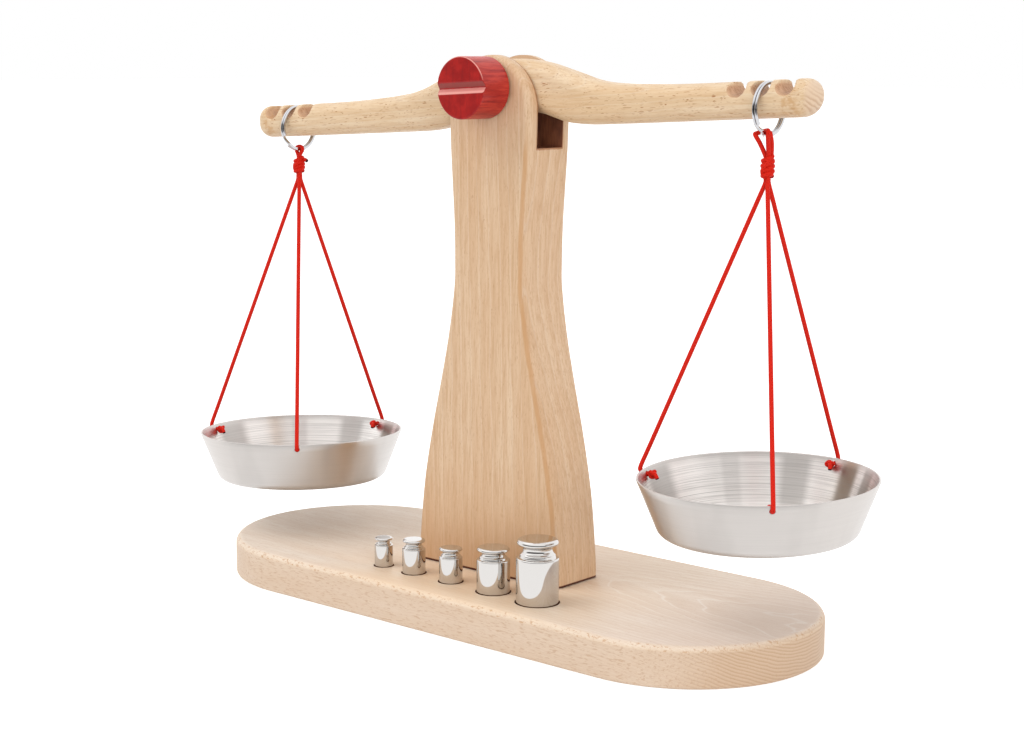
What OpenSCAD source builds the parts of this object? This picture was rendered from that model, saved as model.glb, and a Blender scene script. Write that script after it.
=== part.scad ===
// Wooden balance scale: a beech stand carries a rocking beam, and two steel pans hang from its ends.
// Millimetres. X runs along the beam, Y points away from the viewer, Z is up.
// The origin is the middle of the base board's underside.

/* [Base board] */
// Length of the base board
base_length = 299; // [270:1:360]
// Width of the base board
base_width = 114; // [100:1:150]
// Thickness of the base board
base_thick = 17; // [14:0.5:24]
// Rounding of the board's upper edge
base_top_round = 3.2; // [1:0.1:5]
// Rounding of the board's lower edge
base_low_round = 1; // [0.5:0.1:3]

/* [Pillar] */
// Width of the pillar at its foot
pillar_foot_width = 80; // [70:1:100]
// Width of the pillar at its waist
pillar_waist_width = 39.2; // [34:0.2:44]
// Width of the pillar at its round head
pillar_head_width = 44.8; // [40:0.2:52]
// Height of the waist above the board
pillar_waist_height = 134; // [110:1:150]
// Height of the pillar above the board
pillar_height = 220; // [190:1:260]
// Depth of the pillar from front to back
pillar_depth = 27.8; // [26:0.2:34]
// Rounding of the pillar's long edges
pillar_round = 3; // [1:0.2:4]
// Place of the pillar in front of the board's middle line
pillar_forward = 2.6; // [0:0.1:10]
// Slot between the two cheeks, from front to back
slot_width = 16.4; // [15.8:0.1:18]
// Depth of the slot below the beam's axle
slot_below_axle = 24.5; // [22:0.5:40]

/* [Beam] */
// Distance of the axle below the pillar's top
axle_below_top = 13.4; // [12:0.1:20]
// Length of the beam
beam_length = 301; // [270:1:340]
// Thickness of the beam from front to back
beam_thick = 15; // [13:0.1:15.5]
// Height of an arm where the rings hang
arm_height = 14.4; // [12:0.1:18]
// Distance of an arm's top edge below the axle
arm_top_below_axle = 2.6; // [1:0.1:5]
// Height of the hub's crown above the axle
hub_crown = 11.8; // [10:0.1:12.5]
// Height of the hollow under the hub, measured below the axle
hub_hollow = 9.6; // [8:0.1:12]
// Rounding of the beam's long edges
beam_round = 4; // [1:0.1:4.5]
// Rounding of the beam's ends, seen from the front
beam_end_round = 7; // [5:0.1:7]
// Distance from the middle of the outer notch to the beam's end
notch_from_end = 11.1; // [10:0.1:16]
// Spacing of the three notches
notch_pitch = 10.8; // [9.5:0.1:12]
// Radius of a notch
notch_radius = 4.2; // [3:0.1:4.5]
// Depth of a notch below the arm's top edge
notch_depth = 6.2; // [4.5:0.1:7]
// Turn of the beam at rest, the left end down
beam_rest_turn = 3.3; // [0:0.1:5]

/* [Axle and knob] */
// Diameter of the wooden axle
axle_diameter = 8; // [6:0.1:10]
// Running clearance round the axle
axle_clearance = 0.08; // [0.02:0.01:0.1]
// Diameter of the knob
knob_diameter = 25.6; // [20:0.1:30]
// Length of the knob
knob_length = 16.5; // [12:0.1:22]
// Gap between the knob and the front cheek
knob_gap = 0.7; // [0.3:0.1:2]
// Rim chamfer of the knob
knob_chamfer = 0.7; // [0.3:0.1:2]
// Width of the groove across the knob's face
knob_groove_width = 5.4; // [3:0.1:8]
// Depth of the groove across the knob's face
knob_groove_depth = 2; // [1:0.1:4]

/* [Rings] */
// Outer diameter of a split ring
ring_diameter = 21; // [20.4:0.1:23]
// Thickness of a ring's wire, measured outward
ring_wire = 1.5; // [1.2:0.05:1.6]
// Sideways step between the two turns of a ring
ring_turn_step = 1.25; // [0.9:0.05:1.4]
// Gap between a ring and the edge of the notch it hangs on
ring_seat_gap = 0.5; // [0.4:0.05:0.8]

/* [Cords] */
// Diameter of the red cord
cord_diameter = 1.8; // [1.2:0.1:2]
// Drop from the left ring to the top of its knot
left_knot_drop = 2.6; // [2.6:0.1:10]
// Drop from the right ring to the top of its knot
right_knot_drop = 6.8; // [2.6:0.1:10]
// Height of a hanging knot
knot_height = 7.6; // [6:0.1:10]
// Width of a hanging knot
knot_width = 5.2; // [4:0.1:6]
// Diameter of a stop knot inside a pan
stop_knot_diameter = 4.2; // [3.2:0.1:5]
// Length of the cord's tail beside a hanging knot
knot_tail = 4; // [2:0.1:8]

/* [Pans] */
// Diameter of a pan at its rim
pan_rim_diameter = 94.6; // [86:0.2:98]
// Diameter of a pan where its wall meets the bottom
pan_bottom_diameter = 77.2; // [60:0.2:80]
// Height of a pan
pan_height = 22.7; // [18:0.1:28]
// Height of a pan above the board while the beam is level
pan_above_board = 28.9; // [20:0.1:40]
// Thickness of the sheet steel
pan_sheet = 0.8; // [0.6:0.1:1.2]
// Radius between a pan's wall and its bottom
pan_corner_radius = 4; // [2:0.1:6]
// Distance of a cord hole below the rim
pan_hole_drop = 2.2; // [2:0.1:5]
// Clearance round a cord in its hole
pan_hole_clearance = 0.3; // [0.1:0.05:0.6]
// Lean of the left pan about X, its back side up
left_pan_lean_x = -1.1; // [-3:0.1:3]
// Lean of the left pan about Y, its left side up
left_pan_lean_y = -1.9; // [-3:0.1:3]
// Lean of the right pan about X, its back side up
right_pan_lean_x = 1.5; // [-3:0.1:3]
// Lean of the right pan about Y, its left side up
right_pan_lean_y = -0.7; // [-3:0.1:3]

/* [Weights] */
// Diameter of the 50 g weight
weight_50_diameter = 17.6; // [16:0.1:18]
// Height of the 50 g weight above the board
weight_50_height = 26.7; // [22:0.1:30]
// Height of the straight body of the 50 g weight above the board
weight_50_body = 18.6; // [16:0.1:20]
// Diameter of the 20 g weight
weight_20_diameter = 14; // [12:0.1:14.4]
// Height of the 20 g weight above the board
weight_20_height = 19.1; // [16:0.1:24]
// Height of the straight body of the 20 g weight above the board
weight_20_body = 13.7; // [11:0.1:15]
// Diameter of a 10 g weight
weight_10_diameter = 10; // [8:0.1:10.4]
// Height of a 10 g weight above the board
weight_10_height = 14.8; // [12:0.1:18]
// Height of the straight body of a 10 g weight above the board
weight_10_body = 10.6; // [9:0.1:12]
// Diameter of the 5 g weight
weight_5_diameter = 8; // [6:0.1:8.4]
// Height of the 5 g weight above the board
weight_5_height = 12.6; // [10:0.1:15]
// Height of the straight body of the 5 g weight above the board
weight_5_body = 9.2; // [8:0.1:10]
// Depth of the sockets in the board
socket_depth = 4; // [3:0.1:6]
// Clearance round a weight in its socket
socket_clearance = 0.5; // [0.2:0.05:0.7]
// Place of the 50 g weight, right of the pillar's middle
weight_50_place = 45.2; // [43:0.1:50]
// Place of the 20 g weight, right of the pillar's middle
weight_20_place = 21.4; // [20:0.1:24]
// Place of the inner 10 g weight, left of the pillar's middle
weight_10b_place = 2.4; // [0:0.1:4]
// Place of the outer 10 g weight, left of the pillar's middle
weight_10a_place = 23.8; // [21:0.1:26]
// Place of the 5 g weight, left of the pillar's middle
weight_5_place = 41.8; // [38:0.1:46]
// Distance of the row of weights behind the board's front edge
weight_row_inset = 21; // [16:0.5:25]

/* [Screws] */
// Shank diameter of the screws that hold the pillar
screw_diameter = 4; // [3:0.1:5]
// Head diameter of the screws
screw_head_diameter = 8; // [6:0.1:9]
// Length of the screws
screw_length = 45; // [35:1:60]
// Distance between the two screws
screw_spacing = 44; // [30:1:54]
// Depth of a screw head below the underside
screw_recess = 2; // [1:0.1:3]
// Gap round the screws
screw_clearance = 0.08; // [0.02:0.01:0.2]

/* [Hidden] */
$fn = 96;

// One length by which every cut runs past the face it opens
overrun = 1;
LEFT = -1;
RIGHT = 1;
beech = "BurlyWood";
pale_beech = "Wheat";
steel = "Silver";
red_cord = "Red";

pillar_y = -pillar_forward;
weight_row_y = weight_row_inset - base_width / 2;
axle_z = base_thick + pillar_height - axle_below_top;
notch_reach = beam_length / 2 - notch_from_end - notch_pitch;
head_radius = pillar_head_width / 2;
head_z = base_thick + pillar_height - head_radius;
slot_floor_z = axle_z - slot_below_axle;
cheek_face_y = pillar_y - pillar_depth / 2;
bore_radius = axle_diameter / 2 + axle_clearance;

// Rotation about the axle that brings the beam to rest, as a turn about +Y
rest_turn = -beam_rest_turn;
arm_low = -(arm_top_below_axle + arm_height);
notch_low = -(arm_top_below_axle + notch_depth);

// A point of the beam, given from the axle, as it lies at rest
function beam_point_x(x, z) = x * cos(rest_turn) + z * sin(rest_turn);
function beam_point_z(x, z) = axle_z - x * sin(rest_turn) + z * cos(rest_turn);

// Places of the rings: each hangs plumb from the two edges of its notch
ring_bore_radius = ring_diameter / 2 - ring_wire;
ring_sag = sqrt(pow(ring_bore_radius, 2) - pow(beam_thick / 2, 2));
function notch_x(side) = beam_point_x(side * notch_reach, notch_low);
function notch_z(side) = beam_point_z(side * notch_reach, notch_low);
function ring_z(side) = notch_z(side) + ring_seat_gap - ring_sag;
function ring_low_z(side) = ring_z(side) - ring_diameter / 2;
ring_wire_radius = ring_diameter / 2 - ring_wire / 2;

// The loop of cord that goes round the ring's lowest stretch of wire
cord_radius = cord_diameter / 2;
loop_seat_gap = 0.4;
loop_bore_radius = ring_turn_step / 2 + ring_wire / 2 + loop_seat_gap;
loop_radius = loop_bore_radius + cord_radius;
function loop_z(side) = ring_z(side) - ring_bore_radius + loop_seat_gap - loop_bore_radius;
function knot_drop(side) = side == LEFT ? left_knot_drop : right_knot_drop;
function knot_top_z(side) = ring_low_z(side) - knot_drop(side);
function knot_low_z(side) = knot_top_z(side) - knot_height;

// The cords part below the knot, and their upper ends lie round the plumb line
part_gap = 0.6;
bundle_radius = cord_radius / sin(60) + part_gap / 2;
function bundle_z(side) = knot_low_z(side) - part_gap;

// The cords are as long as they need to be to hold the pans at their height above the board
level_ring_low_z = axle_z + notch_low + ring_seat_gap - ring_sag - ring_diameter / 2;
hang_drop = level_ring_low_z - base_thick - pan_above_board - pan_height;
function pan_low_z(side) = ring_low_z(side) - hang_drop - pan_height;

// The wall of a pan leans from the bottom's edge out to the rim
pan_rim_radius = pan_rim_diameter / 2;
pan_bottom_radius = pan_bottom_diameter / 2;
pan_lean = atan((pan_rim_radius - pan_bottom_radius) / pan_height);
function pan_outer_radius(drop) = pan_rim_radius - drop * tan(pan_lean);
hole_radius = cord_radius + pan_hole_clearance;

// A pan leans a little about the middle of its bottom, and so do the holes and knots in its wall
function pan_lean_x(side) = side == LEFT ? left_pan_lean_x : right_pan_lean_x;
function pan_lean_y(side) = side == LEFT ? left_pan_lean_y : right_pan_lean_y;
module in_pan(side) {
    translate([notch_x(side), pillar_y, pan_low_z(side)])
        rotate([pan_lean_x(side), pan_lean_y(side), 0]) children();
}

// A point of a pan, given by its direction, radius and height above the bottom, as it lies in the leaning pan
function pan_point(side, turn, radius, height) =
    let (
        y = radius * sin(turn) * cos(pan_lean_x(side)) - height * sin(pan_lean_x(side)),
        z = radius * sin(turn) * sin(pan_lean_x(side)) + height * cos(pan_lean_x(side)),
        x = radius * cos(turn)
    )
    [
        x * cos(pan_lean_y(side)) + z * sin(pan_lean_y(side)),
        y,
        pan_low_z(side) - x * sin(pan_lean_y(side)) + z * cos(pan_lean_y(side))
    ];

// Directions of the front, side and back cord of each pan, seen from above and counted from +X
FRONT = 0;
SIDE = 1;
BACK = 2;
LEFT_CORD_TURNS = [314, 199, 83];
RIGHT_CORD_TURNS = [310, 196, 82];
function cord_turns(side) = side == LEFT ? LEFT_CORD_TURNS : RIGHT_CORD_TURNS;

// Outline of the pillar's lower part: shares of the waist's height, and of the spread from waist to foot
FOOT_HEIGHT_SHARES = [0, 0.06, 0.21, 0.32, 0.47, 0.62, 0.77, 0.915, 1];
FOOT_SPREAD_SHARES = [1, 0.99, 0.9, 0.795, 0.597, 0.365, 0.155, 0.015, 0];
// Outline of its upper part: shares of the height from waist to head, and of the spread from waist to head
HEAD_HEIGHT_SHARES = [0.23, 0.46, 0.77, 1];
HEAD_SPREAD_SHARES = [0.1, 0.42, 0.88, 1];

// Outline of the beam: shares of the hub's reach, and of the rise from the arm to the hub
HUB_REACH_SHARE = 0.352;
hub_reach = beam_length * HUB_REACH_SHARE;
BEAM_REACH_SHARES = [0, 0.09, 0.18, 0.24, 0.3, 0.363, 0.43, 0.5, 0.575, 0.65, 0.82, 1];
BEAM_TOP_RISE_SHARES = [1, 0.965, 0.865, 0.755, 0.61, 0.46, 0.29, 0.177, 0.116, 0.078, 0.02, 0];
BEAM_LOW_RISE_SHARES = [1, 0.95, 0.76, 0.51, 0.24, 0.1, 0.025, 0.01, 0.005, 0.002, 0, 0];

// Outline of a weight above its straight body: shares of the radius, and of the height left above the body
HEAD_RADIUS_SHARES = [1, 0.94, 0.86, 0.84, 0.7, 0.68, 0.72, 0.94, 0.97, 0.95, 0.88, 0.6, 0];
HEAD_RISE_SHARES = [0, 0.06, 0.07, 0.18, 0.46, 0.54, 0.6, 0.7, 0.78, 0.87, 0.95, 1, 1];
BODY_BEVEL_SHARE = 0.05;

// Steps in which curved outlines are drawn
curve_steps = 3;
head_steps = 14;
end_steps = 5;
loop_steps = 8;
corner_steps = 6;

// Small gaps and sizes that only their own piece uses
zero_step = 0.01;
foot_gap = 0.3;
seat_gap = 0.2;
rim_gap = 0.3;
elbow_gap = 0.1;
knot_seat_gap = 0.1;
strand_gap = 0.15;
axle_in_knob = 9;
axle_set_back = 0.6;
axle_chamfer = 0.6;
knot_wraps = 3;
wrap_lean = 9;
tail_rise = 20;
STOP_WRAP_SHARE = 0.8;
WRAP_STEP_SHARE = 0.8;
SCREW_TIP_SHARE = 0.25;
CROSS_WIDTH_SHARE = 0.25;
CROSS_DEPTH_SHARE = 0.33;

// Shares of a cord's run above the rim, and of the short bend over it, at which its route has points
RUN_MIDDLE_SHARE = 0.53;
RUN_END_SHARE = 0.94;
BEND_SHARES = [0.2, 0.55];
BEND_ROUND_SHARE = 0.1;

// Smooth curve through a list of points, with steps points in each span
function curve_point(a, b, c, d, t) =
    0.5 * (2 * b + (c - a) * t + (2 * a - 5 * b + 4 * c - d) * t * t + (3 * b - a - 3 * c + d) * t * t * t);
function curve(points, steps) = [
    for (i = [0 : len(points) - 2], s = [0 : steps - 1])
        curve_point(
            points[max(i - 1, 0)], points[i], points[i + 1],
            points[min(i + 2, len(points) - 1)], s / steps
        ),
    points[len(points) - 1]
];

function mirrored(points) = [for (i = [len(points) - 1 : -1 : 0]) [-points[i][0], points[i][1]]];

// Points of an arc about a middle, from one angle to another
function arc(middle, radius, from, to, steps) = [
    for (s = [0 : steps])
        let (a = from + (to - from) * s / steps) middle + radius * [cos(a), sin(a)]
];

// Outline moved inward by a distance, point by point. An outline that stands on its first and last points
// keeps their heights, so that its foot stays flat.
function inward(points, i, stands) =
    let (
        last = len(points) - 1,
        foot = stands && (i == 0 || i == last),
        before = i > 0 ? points[i - 1] : points[stands ? 0 : last],
        after = i < last ? points[i + 1] : points[stands ? last : 0],
        run = after - before
    )
    foot ? [-sign(run[1]), 0] : [-run[1], run[0]] / norm(run);
function inset_outline(points, inset, stands) =
    [for (i = [0 : len(points) - 1]) points[i] + inset * inward(points, i, stands)];

// Plate with a closed outline in X and Z, of the given thickness in Y, with its long edges rounded.
// The outline runs anticlockwise as the viewer sees it, and its point i lies opposite point n - 1 - i.
edge_steps = 4;
module rounded_plate(points, thick, edge, stands = false) {
    n = len(points);
    quarter = [for (s = [0 : edge_steps]) 90 * s / edge_steps];
    front = [
        for (s = [edge_steps : -1 : 0])
            [-thick / 2 + edge * (1 - sin(quarter[s])), edge * (1 - cos(quarter[s]))]
    ];
    layers = concat(front, [for (i = [edge_steps : -1 : 0]) [-front[i][0], front[i][1]]]);
    last = len(layers) - 1;
    vertices = [
        for (layer = layers)
            let (outline = inset_outline(points, layer[1], stands))
                for (q = outline) [q[0], layer[0], q[1]]
    ];
    sides = [
        for (k = [0 : last - 1], i = [0 : n - 1])
            let (a = k * n + i, b = k * n + (i + 1) % n)
                each [[a, b, a + n], [b, b + n, a + n]]
    ];
    front_face = [for (i = [0 : n / 2 - 2]) [n - 1 - i, n - 2 - i, i + 1, i]];
    back = last * n;
    back_face = [for (i = [0 : n / 2 - 2]) [back + i, back + i + 1, back + n - 2 - i, back + n - 1 - i]];
    polyhedron(vertices, concat(front_face, sides, back_face));
}

// Round cord along a route that lies in the X and Z plane
cord_sides = 8;
module planar_cord(route) {
    last = len(route) - 1;
    vertices = [
        for (i = [0 : last])
            let (
                run = route[min(i + 1, last)] - route[max(i - 1, 0)],
                across = [run[1], -run[0]] / norm(run)
            )
                for (s = [0 : cord_sides - 1])
                    let (a = 360 * (s + 0.5) / cord_sides, side = cord_radius * cos(a) * across)
                        [route[i][0] + side[0], cord_radius * sin(a), route[i][1] + side[1]]
    ];
    sides = [
        for (k = [0 : last - 1], s = [0 : cord_sides - 1])
            let (a = k * cord_sides + s, b = k * cord_sides + (s + 1) % cord_sides)
                each [[a, a + cord_sides, b], [b, a + cord_sides, b + cord_sides]]
    ];
    first_face = [for (s = [0 : cord_sides - 1]) s];
    last_face = [for (s = [cord_sides - 1 : -1 : 0]) last * cord_sides + s];
    polyhedron(vertices, concat([first_face], sides, [last_face]));
}

// Half of a board's section, from its middle line out to the rounded edges
module board_section() {
    half = base_width / 2;
    top = base_top_round;
    low = base_low_round;
    square([half - top, base_thick]);
    translate([0, low]) square([half, base_thick - top - low]);
    square([half - low, base_thick - top]);
    translate([half - top, base_thick - top]) circle(top);
    translate([half - low, low]) circle(low);
}

// Places of the weights: diameter, height above the board, height of the straight body, place
WEIGHTS = [
    [weight_50_diameter, weight_50_height, weight_50_body, weight_50_place],
    [weight_20_diameter, weight_20_height, weight_20_body, weight_20_place],
    [weight_10_diameter, weight_10_height, weight_10_body, -weight_10b_place],
    [weight_10_diameter, weight_10_height, weight_10_body, -weight_10a_place],
    [weight_5_diameter, weight_5_height, weight_5_body, -weight_5_place]
];

module screw_places() {
    for (side = [LEFT, RIGHT]) translate([side * screw_spacing / 2, pillar_y, 0]) children();
}

// Space of a screw, grown by a gap: head recess, countersink and shank
module screw_hole() {
    head = screw_head_diameter / 2 + screw_clearance;
    shank = screw_diameter / 2 + screw_clearance;
    translate([0, 0, -overrun]) cylinder(r = head, h = screw_recess + overrun);
    translate([0, 0, screw_recess - zero_step]) cylinder(r1 = head, r2 = shank, h = head - shank);
    cylinder(r = shank, h = screw_recess + screw_length + screw_clearance);
}

module base_board() {
    straight = base_length / 2 - base_width / 2;
    color(pale_beech) difference() {
        union() {
            for (side = [LEFT, RIGHT])
                translate([side * straight, 0, 0]) rotate_extrude() board_section();
            for (turn = [0, 180]) rotate([0, 0, turn]) rotate([90, 0, 90])
                translate([0, 0, -straight]) linear_extrude(2 * straight) board_section();
        }
        for (w = WEIGHTS)
            translate([w[3], weight_row_y, base_thick - socket_depth])
                cylinder(d = w[0] + 2 * socket_clearance, h = socket_depth + overrun);
        screw_places() screw_hole();
    }
}

function pillar_side() =
    let (
        head_spread = (pillar_head_width - pillar_waist_width) / 2,
        foot_spread = (pillar_foot_width - pillar_waist_width) / 2,
        foot_z = base_thick + foot_gap,
        waist_z = base_thick + pillar_waist_height,
        low = [
            for (i = [0 : len(FOOT_HEIGHT_SHARES) - 1])
                [
                    pillar_waist_width / 2 + foot_spread * FOOT_SPREAD_SHARES[i],
                    foot_z + (waist_z - foot_z) * FOOT_HEIGHT_SHARES[i]
                ]
        ],
        high = [
            for (i = [0 : len(HEAD_HEIGHT_SHARES) - 1])
                [
                    pillar_waist_width / 2 + head_spread * HEAD_SPREAD_SHARES[i],
                    waist_z + (head_z - waist_z) * HEAD_HEIGHT_SHARES[i]
                ]
        ]
    )
    curve(concat(low, high), curve_steps);

module pillar() {
    side = pillar_side();
    crown = arc([0, head_z], head_radius, 0, 180, 2 * head_steps + 1);
    half = concat(side, [for (i = [1 : head_steps]) crown[i]]);
    color(beech) difference() {
        translate([0, pillar_y, 0])
            rounded_plate(concat(half, mirrored(half)), pillar_depth, pillar_round, stands = true);
        translate([-pillar_head_width, pillar_y - slot_width / 2, slot_floor_z])
            cube([2 * pillar_head_width, slot_width, pillar_height]);
        translate([0, cheek_face_y - overrun, axle_z])
            rotate([-90, 0, 0]) cylinder(r = bore_radius, h = pillar_depth + 2 * overrun);
        screw_places() screw_hole();
    }
}

module pillar_screws() {
    head = screw_head_diameter / 2;
    shank = screw_diameter / 2;
    color(steel) screw_places() translate([0, 0, screw_recess]) difference() {
        union() {
            cylinder(r1 = head, r2 = shank, h = head - shank);
            cylinder(r = shank, h = screw_length - screw_diameter);
            translate([0, 0, screw_length - screw_diameter])
                cylinder(r1 = shank, r2 = shank * SCREW_TIP_SHARE, h = screw_diameter);
        }
        cross = [head, head * CROSS_WIDTH_SHARE, overrun + head * CROSS_DEPTH_SHARE];
        for (turn = [0, 90]) rotate([0, 0, turn])
            translate([-cross[0] / 2, -cross[1] / 2, -overrun]) cube(cross);
    }
}

// One edge of the beam from the hub to the right end: its height at the hub and along the arm, then the
// end's arc
function beam_edge(hub_z, arm_z, rise_shares, turn) =
    let (
        rise = [
            for (i = [0 : len(BEAM_REACH_SHARES) - 1])
                [hub_reach * BEAM_REACH_SHARES[i], arm_z + (hub_z - arm_z) * rise_shares[i]]
        ],
        end = [beam_length / 2 - beam_end_round, arm_z - sign(turn) * beam_end_round]
    )
    concat(curve(rise, curve_steps), arc(end, beam_end_round, turn, 0, end_steps));

module beam() {
    low = beam_edge(-hub_hollow, arm_low, BEAM_LOW_RISE_SHARES, -90);
    top = beam_edge(hub_crown, -arm_top_below_axle, BEAM_TOP_RISE_SHARES, 90);
    right = concat(low, [for (i = [len(top) - 1 : -1 : 0]) top[i]]);
    far = len(low) - 1;
    left_low = [for (i = [far : -1 : 1]) [-low[i][0], low[i][1]]];
    left_top = [for (i = [1 : far]) [-top[i][0], top[i][1]]];
    color(beech) translate([0, pillar_y, axle_z]) rotate([0, rest_turn, 0]) difference() {
        rounded_plate(concat(left_low, right, left_top), beam_thick, beam_round);
        for (side = [LEFT, RIGHT], step = [-1 : 1])
            translate([side * notch_reach + step * notch_pitch, 0, notch_low + notch_radius])
                rotate([90, 0, 0])
                    cylinder(r = notch_radius, h = beam_thick + 2 * overrun, center = true, $fn = 48);
        rotate([90, 0, 0]) cylinder(r = bore_radius, h = beam_thick + 2 * overrun, center = true);
    }
}

module axle_dowel() {
    start = cheek_face_y - knob_gap - axle_in_knob;
    end = pillar_y + pillar_depth / 2 - axle_set_back;
    color(pale_beech) translate([0, start, axle_z]) rotate([-90, 0, 0]) {
        cylinder(d = axle_diameter, h = end - start - axle_chamfer);
        translate([0, 0, end - start - axle_chamfer])
            cylinder(d1 = axle_diameter, d2 = axle_diameter - 2 * axle_chamfer, h = axle_chamfer);
    }
}

module turning_knob() {
    back = cheek_face_y - knob_gap;
    straight = knob_length - 2 * knob_chamfer;
    narrow = knob_diameter - 2 * knob_chamfer;
    half_groove = knob_groove_width / 2;
    color("Firebrick") translate([0, back, axle_z]) rotate([90, rest_turn, 0]) difference() {
        union() {
            cylinder(d1 = narrow, d2 = knob_diameter, h = knob_chamfer);
            translate([0, 0, knob_chamfer]) cylinder(d = knob_diameter, h = straight);
            translate([0, 0, knob_length - knob_chamfer])
                cylinder(d1 = knob_diameter, d2 = narrow, h = knob_chamfer);
        }
        translate([0, 0, -overrun]) cylinder(r = bore_radius, h = axle_in_knob + axle_clearance + overrun);
        translate([-knob_diameter, 0, knob_length]) rotate([90, 0, 90]) linear_extrude(2 * knob_diameter)
            polygon([
                [-half_groove, 0], [0, -knob_groove_depth], [half_groove, 0],
                [half_groove, overrun], [-half_groove, overrun]
            ]);
    }
}

module split_ring(side) {
    color(steel) translate([notch_x(side), pillar_y, ring_z(side)]) rotate([0, 90, 0])
        rotate_extrude() for (turn = [LEFT, RIGHT])
            translate([ring_wire_radius, turn * ring_turn_step / 2]) circle(d = ring_wire, $fn = 32);
}

// Wraps of cord stacked round a core, as a tied knot shows them
module knot_body(width, height, wraps) {
    wrap_radius = width / 2 - cord_radius;
    step = (height - cord_diameter) / (wraps - 1);
    for (i = [0 : wraps - 1])
        translate([0, 0, cord_radius + i * step])
            rotate([wrap_lean * (i % 2 == 0 ? 1 : -1), wrap_lean * (i - 1), 0])
                rotate_extrude($fn = 48) translate([wrap_radius, 0]) circle(r = cord_radius, $fn = 24);
    translate([0, 0, cord_radius]) cylinder(r = wrap_radius, h = height - cord_diameter, $fn = 32);
}

module hanging_knot(side) {
    strand_x = cord_radius + strand_gap;
    strand = [strand_x, knot_top_z(side) - cord_radius];
    over = arc([0, loop_z(side)], loop_radius, 0, 180, loop_steps);
    color(red_cord) translate([notch_x(side), pillar_y, 0]) {
        planar_cord(concat([strand], over, [[-strand[0], strand[1]]]));
        translate([0, 0, knot_low_z(side)]) knot_body(knot_width, knot_height, knot_wraps);
        translate([0, 0, knot_top_z(side) - cord_diameter]) rotate([0, 90 - tail_rise, 0])
            cylinder(r = cord_radius, h = knot_width / 2 + knot_tail, $fn = 24);
    }
}

// A cord leaves the bundle below the knot, bends over the leaning rim and ends above its hole
function cord_route(side, turn) =
    let (
        end_drop = pan_hole_drop - cord_radius - elbow_gap,
        off_wall = cord_radius + rim_gap,
        top = [bundle_radius, bundle_z(side)],
        rim = pan_point(side, turn, pan_rim_radius + off_wall, pan_height),
        low = pan_point(side, turn, pan_outer_radius(end_drop) + off_wall, pan_height - end_drop),
        bend = [norm([rim[0], rim[1]]), rim[2]],
        end = [norm([low[0], low[1]]), low[2]],
        run = bend - top,
        drop = end - bend,
        before = top + run * RUN_END_SHARE,
        out = [-drop[1], drop[0]] * BEND_ROUND_SHARE
    )
    concat(
        [top, top + run * RUN_MIDDLE_SHARE, before],
        [for (share = BEND_SHARES) bend + drop * share + out],
        [end]
    );

module cord(side, place) {
    turn = cord_turns(side)[place];
    rim = pan_point(side, turn, pan_rim_radius, pan_height);
    color(red_cord) translate([notch_x(side), pillar_y, 0])
        rotate([0, 0, atan2(rim[1], rim[0])]) planar_cord(cord_route(side, turn));
}

// The short end of each cord: an elbow outside the wall, the run through the hole and the knot of two wraps
// inside. The knot sits off the wall by a gap where the leaning wall comes nearest to it.
module stop_knots(side) {
    wall = pan_outer_radius(pan_hole_drop);
    elbow = wall + cord_radius + rim_gap;
    wrap = cord_radius * STOP_WRAP_SHARE;
    wrap_radius = stop_knot_diameter / 2 - wrap;
    inner_wall = wall - pan_sheet / cos(pan_lean);
    outer = inner_wall - wrap_radius * tan(pan_lean) - (wrap + knot_seat_gap) / cos(pan_lean);
    inner = outer - 2 * wrap * WRAP_STEP_SHARE;
    color(red_cord) in_pan(side) translate([0, 0, pan_height - pan_hole_drop])
        for (turn = cord_turns(side)) rotate([0, 0, turn]) rotate([0, 90, 0]) rotate_extrude($fn = 32) {
            translate([0, inner]) square([cord_radius, elbow - inner]);
            translate([0, inner]) square([wrap_radius, outer - inner]);
            for (place = [inner, outer]) translate([wrap_radius, place]) circle(r = wrap, $fn = 24);
            translate([0, inner - wrap]) square([wrap_radius, wrap]);
            intersection() {
                translate([0, elbow]) circle(r = cord_radius, $fn = 24);
                translate([0, elbow - cord_radius]) square([cord_radius, 2 * cord_radius]);
            }
        }
}

function pan_profile() =
    let (
        outer = pan_corner_radius + pan_sheet,
        middle = [pan_bottom_radius - outer * tan((90 - pan_lean) / 2), outer]
    )
    concat(
        [[0, 0]],
        arc(middle, outer, -90, -pan_lean, corner_steps),
        [[pan_rim_radius, pan_height], [pan_rim_radius - pan_sheet / cos(pan_lean), pan_height]],
        arc(middle, pan_corner_radius, -pan_lean, -90, corner_steps),
        [[0, pan_sheet]]
    );

module pan(side) {
    color(steel) in_pan(side) difference() {
        rotate_extrude($fn = 128) polygon(pan_profile());
        for (turn = cord_turns(side)) rotate([0, 0, turn])
            translate([pan_bottom_radius, 0, pan_height - pan_hole_drop])
                rotate([0, 90, 0]) cylinder(r = hole_radius, h = pan_rim_radius, $fn = 24);
    }
}

module weight(row) {
    radius = row[0] / 2;
    body = row[2] + socket_depth - seat_gap;
    upper = row[1] - row[2];
    top = [
        for (i = [0 : len(HEAD_RADIUS_SHARES) - 1])
            [radius * HEAD_RADIUS_SHARES[i], body + upper * HEAD_RISE_SHARES[i]]
    ];
    bevel = radius * BODY_BEVEL_SHARE;
    color(steel) translate([row[3], weight_row_y, base_thick - socket_depth + seat_gap])
        rotate_extrude() polygon(concat([[0, 0], [radius - bevel, 0], [radius, bevel]], top));
}

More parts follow.
